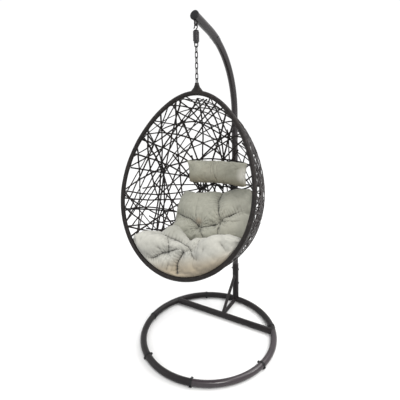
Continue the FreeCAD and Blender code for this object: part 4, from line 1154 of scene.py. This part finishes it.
NU, NT = ((124, 84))
UL, UR = -0.294, 0.340
uu = UL + (UR - UL) * (1 - np.cos(np.linspace(0.10, math.pi - 0.10, NU)) / math.cos(0.10)) / 2
rows, low_edge = [], []
for u in uu:
    e = min(1.0, (u - UL) / 0.034, (UR - u) / 0.036)
    e = math.sqrt(max(0.0, 1 - (1 - max(e, 0.0)) ** 2))             # the ends close in a round
    h = float(crest(u))
    sb = max(BACK_UP - 0.180 / CT + math.tan(BACK_TURN) * (u - BACK_SIDE), -0.040)
    wf = LEAN_AT[1] + SL * sb - 0.034 * CL
    vf = LEAN_AT[2] + CL * sb + 0.034 * SL
    f0 = float(floor_v(np.array([u]), np.array([0.018]), 0.0095)[0])
    pts = []
    low_in = 0.0130
    hv = min(vf, h + 0.045)                                        # height where the back pad stands on it
    # front face up, roll over the crest, on to the back pad, under it, then home along the basket
    face_h = h - f0
    fb = float(floor_v(np.array([u]), np.array([0.0015]), 0.0150)[0])
    fc = float(floor_v(np.array([u]), np.array([0.0135]), 0.0055)[0])
    fd = float(floor_v(np.array([u]), np.array([0.030]), 0.0065)[0])
    pts.append((0.030, fd))
    pts.append((0.0140, fc))
    pts.append((0.0005, fb))
    pts.append((-0.0050, fb + 0.010))
    for k in (0.26, 0.42, 0.58, 0.74, 0.87):
        pts.append((0.0025 + 0.001 * math.sin(k * 3), fb + face_h * k))
    hl = float(np.interp(u, LOBE[:, 0], LOBE[:, 1]))
    lk = float(np.clip((0.050 - u) / 0.05, 0, 1))                  # 1 where the rear left lobe is, 0 where the back pad stands
    top_r = lk * max(hl, h) + (1 - lk) * (h + 0.66 * (hv - h))
    pts += [(0.012, h - 0.010), (0.032, h - 0.001), (0.058, h + 0.10 * (top_r - h)), (0.084, h + 0.62 * (top_r - h)),
            (0.112, top_r), (0.134, lk * (top_r - 0.008) + (1 - lk) * (h + 0.85 * (hv - h)))]
    pts.append((max(wf - 0.004, 0.146), lk * (min(top_r, vf) - 0.016) + (1 - lk) * (hv - 0.002)))
    for w in (wf + 0.022, wf + 0.048):
        pts.append((w, min(hv, vf - SL / CL * (w - wf)) - 0.006 - 0.008 * lk))
    wend = 0.205
    fe = float(floor_v(np.array([u]), np.array([wend]), low_in + 0.010)[0])
    te = min(hv, vf - SL / CL * (wend - wf)) - 0.012
    if te - fe > 0.03:
        pts.append((wend, te - 0.012))
        pts.append((wend + 0.004, (te + fe) / 2))
        pts.append((wend - 0.006, fe + 0.008))
    else:
        pts.append((wend - 0.01, (te + fe) / 2 + 0.006))
        pts.append((wend - 0.004, (te + fe) / 2))
        pts.append((wend - 0.01, (te + fe) / 2 - 0.006))
    for w in (0.165, 0.125, 0.085, 0.05, 0.022):
        pts.append((w, float(floor_v(np.array([u]), np.array([w]), low_in)[0])))
    P = np.array(pts)
    Q = smooth_poly(np.vstack([P, P[:1]]), 10)
    s = np.concatenate([[0], np.cumsum(np.linalg.norm(np.diff(Q, axis=0), axis=1))])
    q = np.linspace(0, s[-1], NT + 1)[:-1]
    R = np.stack([np.interp(q, s, Q[:, 0]), np.interp(q, s, Q[:, 1])], -1)
    cen = R.mean(0)
    R = cen + (R - cen) * (0.16 + 0.84 * e)
    low_edge.append(np.full(NT, fb))
    rows.append(np.column_stack([np.full(NT, u), R]))
SV = np.vstack(rows)
SEAT_LOW = np.concatenate(low_edge + [np.array([low_edge[0][0], low_edge[-1][0]])])
SF = grid_faces(NU, NT, False, True)
capL = len(SV)
SV = np.vstack([SV, SV[:NT].mean(0), SV[(NU - 1) * NT:NU * NT].mean(0)])
SF_tri = np.array([[capL, (i + 1) % NT, i, i] for i in range(NT)] + [[capL + 1, (NU - 1) * NT + i, (NU - 1) * NT + (i + 1) % NT, (NU - 1) * NT + (i + 1) % NT] for i in range(NT)])
SN = vert_normals(SV, SF)
SN[capL], SN[capL + 1] = (-1, 0, 0), (1, 0, 0)
mid_row = SV[NT * (NU // 2):NT * (NU // 2) + NT]
fi = NT * (NU // 2) + int(np.argmin(mid_row[:, 1]))
if SN[fi, 1] > 0:
    SF = SF[:, ::-1]
    SF_tri = SF_tri[:, [0, 2, 1, 1]]
    SN = -SN
    SN[capL], SN[capL + 1] = (-1, 0, 0), (1, 0, 0)
# only the part that shows is stitched down
sfront = np.clip((0.16 - SV[:, 1]) / 0.05, 0, 1) * np.clip((SV[:, 2] - SEAT_LOW - 0.004) / 0.020, 0, 1)
low_side = (SV[:, 1] > 0.02) & (SN[:, 2] < 0.1)
sfront = np.where(low_side, 0, sfront)


def G(u, v, w=0.006):
    return np.array([u, w, v])


S_T3 = G(0.098, -0.803, 0.030)
s_creases = [
    # right roll's left border, from the tuft down to the rim
    ([S_T3, G(0.070, -0.812, 0.02), G(0.044, -0.838), G(0.024, -0.885), G(0.020, -0.921), G(0.036, -0.950)], 0.048, 0.026, 0.017, 0.95),
    # fold inside the right roll
    ([S_T3, G(0.103, -0.826), G(0.118, -0.840), G(0.150, -0.846)], 0.030, 0.002, 0.010, 0.5),
    # border of the rear left lobe
    ([S_T3, G(0.060, -0.800, 0.05), G(0.010, -0.792, 0.065), G(-0.040, -0.788, 0.066), G(-0.110, -0.790, 0.062), G(-0.165, -0.79, 0.06)], 0.034, 0.006, 0.014, 0.7),
    # left roll against the front centre
    ([G(-0.085, -0.790, 0.05), G(-0.056, -0.800, 0.02), G(-0.046, -0.830), G(-0.050, -0.856)], 0.008, 0.026, 0.013, 0.5),
    ([G(-0.195, -0.905), G(-0.158, -0.912), G(-0.122, -0.899), G(-0.086, -0.872), G(-0.050, -0.856)], 0.006, 0.030, 0.014, 0.65),
    ([G(-0.050, -0.856), G(-0.020, -0.842), G(0.030, -0.815, 0.01), S_T3], 0.026, 0.034, 0.014, 0.6),
    # tucks at the right end
    ([G(0.240, -0.724, 0.05), G(0.264, -0.750), G(0.285, -0.766)], 0.016, 0.002, 0.010, 0.4),
    # pleats at the bottom of the front
    ([G(-0.030, -0.948), G(-0.024, -0.918), G(-0.020, -0.885)], 0.012, 0.001, 0.009, 0.4),
    ([G(-0.062, -0.944), G(-0.054, -0.918), G(-0.046, -0.890)], 0.011, 0.001, 0.009, 0.4),
    ([G(-0.004, -0.952), G(-0.002, -0.925), G(0.002, -0.885)], 0.012, 0.001, 0.009, 0.4),
    # short wrinkles under the right roll's rear edge
    ([G(0.150, -0.760, 0.06), G(0.148, -0.79, 0.01), G(0.146, -0.815)], 0.009, 0.001, 0.008, 0.35),
    ([G(0.176, -0.745, 0.06), G(0.178, -0.775, 0.01), G(0.180, -0.805)], 0.009, 0.001, 0.008, 0.35),
]
SV1, spin, sshade = sink(SV, SN, s_creases, [(S_T3, 0.060, 0.018), (G(-0.050, -0.856), 0.034, 0.015)], sfront)
for cen_, rad_, amp_ in ((G(0.165, -0.828, 0.012), (0.115, 0.06, 0.095), 0.030), (G(-0.190, -0.845, 0.012), (0.095, 0.06, 0.062), 0.024),
                         (G(-0.080, -0.765, 0.100), (0.085, 0.06, 0.045), 0.014), (G(-0.030, -0.900, 0.004), (0.060, 0.05, 0.045), 0.014),
                         (G(-0.005, -0.818, 0.030), (0.050, 0.05, 0.026), 0.010)):
    dq = ((SV - cen_) / np.array(rad_)) ** 2
    SV1 = SV1 + SN * (amp_ * np.exp(-dq.sum(1)) * sfront * (1 - 0.85 * spin))[:, None]
SV1 = SV1 + crumple(SV1, SN, 0.0010, 37, 0.075)
rest = np.clip((SV[:, 1] - 0.15) / 0.05, 0, 1)
spin = np.maximum(spin, np.where(low_side, 0.9, 0.0))
spin = np.maximum(spin, rest * 0.8)
edge_row = (SV[:, 1] < 0.034) & (SV[:, 2] < SEAT_LOW + 0.014)      # lower border that lies against the rim
spin = np.maximum(spin, np.where(edge_row, 0.85, 0.0))
SALL = np.vstack([SF, SF_tri])


def as_faces(F):
    return [tuple(int(i) for i in (f if f[2] != f[3] else f[:3])) for f in F]


class Faces(list):
    def tolist(self):
        return list(self)


SV2 = puff("seat_cushion", SV1, Faces(as_faces(SALL)), spin, pressure=4.5, grow=0.09, cap=0.022)
SV2 = relax(SV2, SALL, 1, np.clip(spin, 0, 1))
vis = sfront * (1 - low_side)
SVF, SVB, SM, SFF = finer(as_faces(SALL), SV2, SV, np.stack([vis, sfront, low_side], -1))
vis = np.clip(SM[:, 0], 0, 1)
sshade, sgroove = line_shade(SVB, vert_normals(SVB, SFF), s_creases, [(S_T3, 0.060, 0.018), (G(-0.050, -0.856), 0.034, 0.015)], vis)
SN2 = vert_normals(SVF, SFF)
SVF = SVF - SN2 * sgroove[:, None]
SVF = SVF + wrinkle(SVF, SN2, S_T3, 0.14, 13, 0.0042, 0.9, UPV) * vis[:, None]
SVF = SVF + wrinkle(SVF, SN2, G(-0.050, -0.856), 0.13, 12, 0.0036, 2.2, UPV) * vis[:, None]
for k, (st, am, re, ph) in zip((0, 2, 3, 4, 5), ((0.016, 0.0036, 0.030, 0.7), (0.018, 0.0030, 0.028, 2.1), (0.015, 0.0030, 0.022, 1.2),
                                                   (0.015, 0.0036, 0.030, 3.3), (0.015, 0.0028, 0.020, 4.4))):
    SVF = SVF + pucker(SVF, SN2, s_creases[k][0], st, am, re, ph) * vis[:, None]
SVF = SVF + crumple(SVF, SN2, 0.0015, 47, 0.070) * vis[:, None]
# keep inside the basket and behind the rim
lim = inner_depth(SVF[:, 0], SVF[:, 2], 0.0060)

out = (SVF[:, 1] > lim) & (SVF[:, 1] > 0.03)
SVF[out, 1] = lim[out]


def finish_shade(V, F, shade, front_mask):
    h = hollows(V, F)
    if F.shape[1] == 4 and front_mask is not None:
        h = h * front_mask
    return np.clip(np.maximum(shade, 0) + h, 0, 1)


bshade = finish_shade(BVF, BFF, bshade, 1 - 0.7 * BM[:, 1])
pshade = finish_shade(PVF, PFF, pshade, 1 - 0.7 * PM[:, 2])
sshade = finish_shade(SVF, SFF, 0.84 * sshade, None)


# ---- cloth
def cloth_mat(name, dark, light, warm, shade_below=None, warm_shade_lower_right=None, tint_and_light_spots=()):
    """Outdoor cloth: slow tone drift, fine weave, painted shade in its folds, optional painted shade by height and
    side, and tinted spots.
    """
    M = Mat(name)
    co = M.coords()
    broad = M.noise(co, 6.0, 3.0)
    fine = M.noise(co, 60.0, 4.0)
    col = M.ramp(M.math("ADD", M.math("MULTIPLY", broad, 0.65), M.math("MULTIPLY", fine, 0.35)), [(0.34, dark), (0.66, light)])
    blush = M.ramp(M.noise(M.mapping(co, (1.0, 1.0, 1.0)), 3.1, 1.0), [(0.52, (0, 0, 0)), (0.74, (1, 1, 1))])
    col = M.mix(M.math("MULTIPLY", blush, 0.35), col, warm)
    sep = M.node("ShaderNodeSeparateXYZ")
    M.link(co, sep.inputs[0])
    # painted shade: below the given height the colour turns towards the darker tint
    if shade_below is not None:
        z1, z0, tint = shade_below
        mr = M.node("ShaderNodeMapRange", interpolation_type="SMOOTHSTEP")
        mr.inputs["From Min"].default_value, mr.inputs["From Max"].default_value = z1, z0
        M.link(sep.outputs[2], mr.inputs["Value"])
        col = M.mix(mr.outputs[0], col, tint)
    # painted shade: the colour turns towards a darker, warmer tint towards the lower right
    if warm_shade_lower_right is not None:
        a0, a1, tint = warm_shade_lower_right
        mr = M.node("ShaderNodeMapRange", interpolation_type="SMOOTHSTEP")
        mr.inputs["From Min"].default_value, mr.inputs["From Max"].default_value = a0, a1
        M.link(M.math("SUBTRACT", M.math("MULTIPLY", sep.outputs[0], 0.35), sep.outputs[2]), mr.inputs["Value"])
        col = M.mix(mr.outputs[0], col, tint)
    # round patches tinted towards a colour; the calls below use them for painted light, painted shade and a warm tint
    for place, reach, tint in tint_and_light_spots:
        dv = M.node("ShaderNodeVectorMath", operation="DISTANCE")
        M.link(co, dv.inputs[0])
        dv.inputs[1].default_value = tuple(float(x) for x in place)
        mr = M.node("ShaderNodeMapRange", interpolation_type="SMOOTHSTEP")
        mr.inputs["From Min"].default_value, mr.inputs["From Max"].default_value = reach, 0.2 * reach
        M.link(dv.outputs["Value"], mr.inputs["Value"])
        col = M.mix(M.math("MULTIPLY", mr.outputs[0], 0.75), col, tint)
    # painted shade: the fold attribute darkens the colour in creases and hollows
    fold = M.node("ShaderNodeAttribute", attribute_name="fold")
    col = M.mix(M.math("MULTIPLY", fold.outputs["Fac"], 0.92, clamp=True), col, tuple(c * 0.11 for c in dark))
    M.link(col, M.b.inputs["Base Color"])
    thread = M.node("ShaderNodeTexWave", wave_type="BANDS", bands_direction="X")
    thread.inputs["Scale"].default_value = 420.0
    thread.inputs["Distortion"].default_value = 1.5
    M.link(co, thread.inputs["Vector"])
    cross = M.node("ShaderNodeTexWave", wave_type="BANDS", bands_direction="Z")
    cross.inputs["Scale"].default_value = 420.0
    cross.inputs["Distortion"].default_value = 1.5
    M.link(co, cross.inputs["Vector"])
    h = M.math("ADD", M.math("MULTIPLY", thread.outputs["Fac"], 0.5), M.math("MULTIPLY", cross.outputs["Fac"], 0.5))
    h = M.math("ADD", h, M.math("MULTIPLY", M.noise(co, 240.0, 4.0), 0.8))
    M.link(M.bump(h, 0.22, 0.0005), M.b.inputs["Normal"])
    M.set("Roughness", 0.92)
    M.set("Specular IOR Level", 0.15)
    M.set("Sheen Weight", 0.18)
    M.set("Sheen Roughness", 0.6)
    return M.mat


# the same sage cloth in three copies of different brightness: the seat's is lighter and the back pad's and pillow's
# darker, painted light and shade per piece
MAT_CLOTH = cloth_mat("sage_cloth", (0.250, 0.252, 0.210), (0.352, 0.350, 0.293), (0.40, 0.36, 0.29),
                      # a warm tint round the first tuft
                      tint_and_light_spots=((to_world(lean_point(-0.006, 0.135, 0.030)), 0.034, (0.33, 0.275, 0.21)),
                             # painted light over the back pad's right part
                             (to_world(lean_point(0.215, 0.235, 0.030)), 0.150, (0.44, 0.435, 0.37))))
MAT_CLOTH_SEAT = cloth_mat("sage_cloth_seat", (0.355, 0.352, 0.318), (0.490, 0.484, 0.436), (0.50, 0.47, 0.40),
                           # painted shade, warm, towards the seat's lower right
                           warm_shade_lower_right=(-0.775, -0.69, (0.375, 0.320, 0.236)),
                           # painted shade on the seat's rear left lobe
                           tint_and_light_spots=((to_world(G(-0.075, -0.752, 0.125)), 0.105, (0.275, 0.276, 0.235)),))
MAT_CLOTH_PILLOW = cloth_mat("sage_cloth_pillow", (0.270, 0.268, 0.214), (0.385, 0.380, 0.312), (0.39, 0.36, 0.285),
                             # painted shade: darker and browner towards the pillow's bottom
                             shade_below=(1.130, 1.045, (0.270, 0.240, 0.168)),
                             # painted highlight on the pillow's right end
                             tint_and_light_spots=((to_world(W(0.226, -0.375, 0.318)), 0.075, (0.95, 0.92, 0.85)),))


def welt(name, loop_pts, radius, mat, per=6, lift=0.0):
    """Sewn seam that follows a closed row of points."""
    P, q, total = arc_resample(loop_pts, 0.0035, True)
    n = len(P)
    T = unit(np.roll(P, -1, 0) - np.roll(P, 1, 0))
    N1 = unit(np.cross(T, np.array([0.0, 1.0, 0.0])))
    N2 = np.cross(T, N1)
    th = np.linspace(0, 2 * math.pi, per, endpoint=False)
    rad = radius * (1 + 0.10 * np.sin(q / 0.0042 * 2 * math.pi))[:, None, None]
    X = P[:, None, :] + rad * (np.cos(th)[None, :, None] * N1[:, None, :] + np.sin(th)[None, :, None] * N2[:, None, :])
    ob = mesh_object(name, to_world(X.reshape(-1, 3)), grid_faces(n, per, True, True), mat)
    at = ob.data.attributes.new("fold", "FLOAT", "POINT")
    at.data.foreach_set("value", np.full(n * per, 0.12, np.float32))
    return ob


def finish_soft(ob, node):
    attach(ob, "basket")
    if node:
        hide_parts(node)


back = cushion_object("back_pad", BVF, BFF.tolist(), bshade, MAT_CLOTH)
finish_soft(back, "back_cushion")
pillow = cushion_object("head_pad", PVF, PFF.tolist(), pshade, MAT_CLOTH_PILLOW)
finish_soft(pillow, "headrest_pillow")
seat = cushion_object("seat_pad", SVF, SFF.tolist(), sshade, MAT_CLOTH_SEAT)
finish_soft(seat, "seat_cushion")
bw = welt("back_seam", BV2[BEDGE], 0.0021, MAT_CLOTH)
finish_soft(bw, None)
pw_ = welt("head_seam", PV2[PEDGE], 0.0018, MAT_CLOTH_PILLOW)
finish_soft(pw_, None)


# ---- covered buttons deep in the tufts
def button(name, V, N, place, mat, r=0.0085):
    i = int(np.argmin(np.linalg.norm(V - np.asarray(place), axis=1)))
    c, nrm = V[i], N[i]
    e1 = unit(np.cross(nrm, UPV))
    e2 = np.cross(nrm, e1)
    prof = [(0.0, 0.0042), (0.35, 0.0040), (0.7, 0.0030), (0.93, 0.0014), (1.0, 0.0), (0.9, -0.0014), (0.0, -0.002)]
    th = np.linspace(0, 2 * math.pi, 20, endpoint=False)
    rows_ = [c + nrm * h + (np.cos(th)[:, None] * e1 + np.sin(th)[:, None] * e2) * r * max(k, 0.001) for k, h in prof]
    ob = mesh_object(name, to_world(np.vstack(rows_)), grid_faces(len(prof), 20, False, True), mat)
    # painted shade: a fold value of 0.4 darkens the buttons deep in the tufts
    at = ob.data.attributes.new("fold", "FLOAT", "POINT")
    at.data.foreach_set("value", np.full(len(prof) * 20, 0.4, np.float32))
    finish_soft(ob, None)
    return ob


BN3, SN3 = vert_normals(BVF, BFF), vert_normals(SVF, SFF)
fr_ = BM[:, 0] > 0.6
button("back_tuft_a", BVF[fr_], BN3[fr_], lean_point(0.005, 0.110, 0.0), MAT_CLOTH)
button("back_tuft_b", BVF[fr_], BN3[fr_], lean_point(0.120, 0.173, 0.0), MAT_CLOTH)


# ---- coil spring: round wire wound in a helix
MAT_COIL = coat_steel("spring_coat", (0.018, 0.016, 0.017), (0.048, 0.045, 0.047), rough=(0.24, 0.38), bump=0.1, spec=0.45)
COIL_R, COIL_WIRE, COIL_TURNS, COIL_LOW, COIL_HIGH, HANG_Y = 0.0137, 0.0023, 10.0, 1.8391, 1.8849, -0.103
cn, cp = 60 * 10 + 1, 10
tq = np.linspace(0, 1, cn)
ang = 2 * math.pi * COIL_TURNS * tq
cc = np.stack([COIL_R * np.cos(ang), HANG_Y + COIL_R * np.sin(ang), COIL_LOW + (COIL_HIGH - COIL_LOW) * tq], -1)
out_ = np.stack([np.cos(ang), np.sin(ang), 0 * ang], -1)
ring_a = np.linspace(0, 2 * math.pi, cp, endpoint=False)
cv = cc[:, None, :] + COIL_WIRE * (np.cos(ring_a)[None, :, None] * out_[:, None, :] + np.sin(ring_a)[None, :, None] * np.array([0, 0, 1.0]))
cv = np.vstack([cv.reshape(-1, 3), cc[0], cc[-1]])
cf = [[i * cp + k, (i + 1) * cp + k, (i + 1) * cp + (k + 1) % cp, i * cp + (k + 1) % cp] for i in range(cn - 1) for k in range(cp)]
cf += [[cn * cp, k, (k + 1) % cp] for k in range(cp)] + [[cn * cp + 1, (cn - 1) * cp + (k + 1) % cp, (cn - 1) * cp + k] for k in range(cp)]
coil = mesh_object("coil_wire", cv, cf, MAT_COIL)
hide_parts("coil_spring")
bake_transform(coil)


# ---- webbing straps and their slides
def webbing_mat(name):
    M = Mat(name)
    uv = M.coords("UV")
    sep = M.node("ShaderNodeSeparateXYZ")
    M.link(uv, sep.inputs[0])
    zig = M.math("ADD", M.math("MULTIPLY", sep.outputs[1], 2600.0), M.math("MULTIPLY", M.math("PINGPONG", M.math("MULTIPLY", sep.outputs[0], 6.0), 1.0), 3.0))
    h = M.math("SINE", zig)
    co = M.coords()
    col = M.ramp(M.noise(co, 120.0, 3.0), [(0.3, (0.006, 0.006, 0.006)), (0.7, (0.016, 0.015, 0.015))])
    M.link(col, M.b.inputs["Base Color"])
    M.set("Roughness", 0.85)
    M.set("Specular IOR Level", 0.15)
    M.link(M.bump(h, 0.5, 0.0003), M.b.inputs["Normal"])
    return M.mat


MAT_WEB = webbing_mat("webbing_black")
SV_, SF_, SUV_ = [], [], []
for k, u in enumerate((0.028, 0.112)):
    sb_ = -0.382 - 0.071 + (u + 0.008) * math.sin(math.radians(3.5))
    xl_ = (u - BACK_SIDE) / CT + 0.183 * ST / CT
    foot = back_point(np.array(xl_), np.array(0.190), np.array(0.0))
    top_p = np.array([u, 0.3465, sb_ - 0.0016])
    n_st = 14
    f = np.linspace(0, 1, n_st)
    path = top_p + (np.array([u, foot[1] - 0.0015, foot[2]]) - top_p) * f[:, None]
    path[:, 1] += 0.0022 * np.sin(math.pi * f)
    tilt_ = 0.0012 * math.sin(2.0 + k)
    half_w, th_ = 0.0125, 0.0011
    cols = np.array([(-1, -1), (-0.6, -1), (0, -1), (0.6, -1), (1, -1), (1.04, 0), (1, 1), (0.6, 1), (0, 1), (-0.6, 1), (-1, 1), (-1.04, 0)], float)
    Tn = unit(np.gradient(path, axis=0))
    Sd = np.array([1.0, 0.0, tilt_ * 20])
    Nn = unit(np.cross(Tn, Sd))
    base_ = sum(len(x) for x in SV_)
    X = path[:, None, :] + cols[None, :, 0:1] * half_w * Sd[None, None, :] + cols[None, :, 1:2] * th_ * Nn[:, None, :]
    SV_.append(X.reshape(-1, 3))
    SF_ += (grid_faces(n_st, 12, False, True, base_)).tolist()
    SF_ += [[base_ + i for i in range(12)][::-1], [base_ + (n_st - 1) * 12 + i for i in range(12)]]
    SUV_.append(np.stack([np.repeat((cols[None, :, 0] + 1) / 2, n_st, 0), np.repeat(f[:, None] * 0.05, 12, 1)], -1).reshape(-1, 2))
straps = mesh_object("pillow_webbing", to_world(np.vstack(SV_)), SF_, MAT_WEB, np.vstack(SUV_))
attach(straps, "basket")
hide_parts("pillow_straps")


def bar(p, q, r, seg=8, rows_=5):
    p, q = np.asarray(p, float), np.asarray(q, float)
    T = unit(q - p)
    a1 = unit(np.cross(T, np.array([0.31, 0.9, 0.2])))
    a2 = np.cross(T, a1)
    th = np.linspace(0, 2 * math.pi, seg, endpoint=False)
    X = []
    for k, rr_ in ((0.0, 0.55), (0.04, 0.9), (0.5, 1.0), (0.96, 0.9), (1.0, 0.55)):
        X.append(p + (q - p) * k + r * rr_ * (np.cos(th)[:, None] * a1 + np.sin(th)[:, None] * a2))
    return np.vstack(X), grid_faces(5, seg, False, True).tolist() + [list(range(seg))[::-1], [4 * seg + i for i in range(seg)]]


KV, KF = [], []
for u in (0.028, 0.112):
    sb_ = -0.382 - 0.071 + (u + 0.008) * math.sin(math.radians(3.5))
    z0, z1, wc_ = sb_ - 0.0105, sb_ - 0.0035, 0.3415
    for p, q, r in (((u - 0.0135, wc_, z0), (u + 0.0135, wc_, z0), 0.0011), ((u - 0.0135, wc_ - 0.001, z1), (u + 0.0135, wc_ - 0.001, z1), 0.0012),
                    ((u - 0.0135, wc_ + 0.001, (z0 + z1) / 2), (u + 0.0135, wc_ + 0.001, (z0 + z1) / 2), 0.0010),
                    ((u - 0.0135, wc_, z0), (u - 0.0135, wc_ - 0.001, z1), 0.0013), ((u + 0.0135, wc_, z0), (u + 0.0135, wc_ - 0.001, z1), 0.0013)):
        v_, f_ = bar(p, q, r)
        b0 = sum(len(x) for x in KV)
        KV.append(v_)
        KF += [[b0 + i for i in ff] for ff in f_]
slides = mesh_object("strap_slides", to_world(np.vstack(KV)), KF, MAT_PLASTIC)
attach(slides, "basket")
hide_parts("strap_buckles")

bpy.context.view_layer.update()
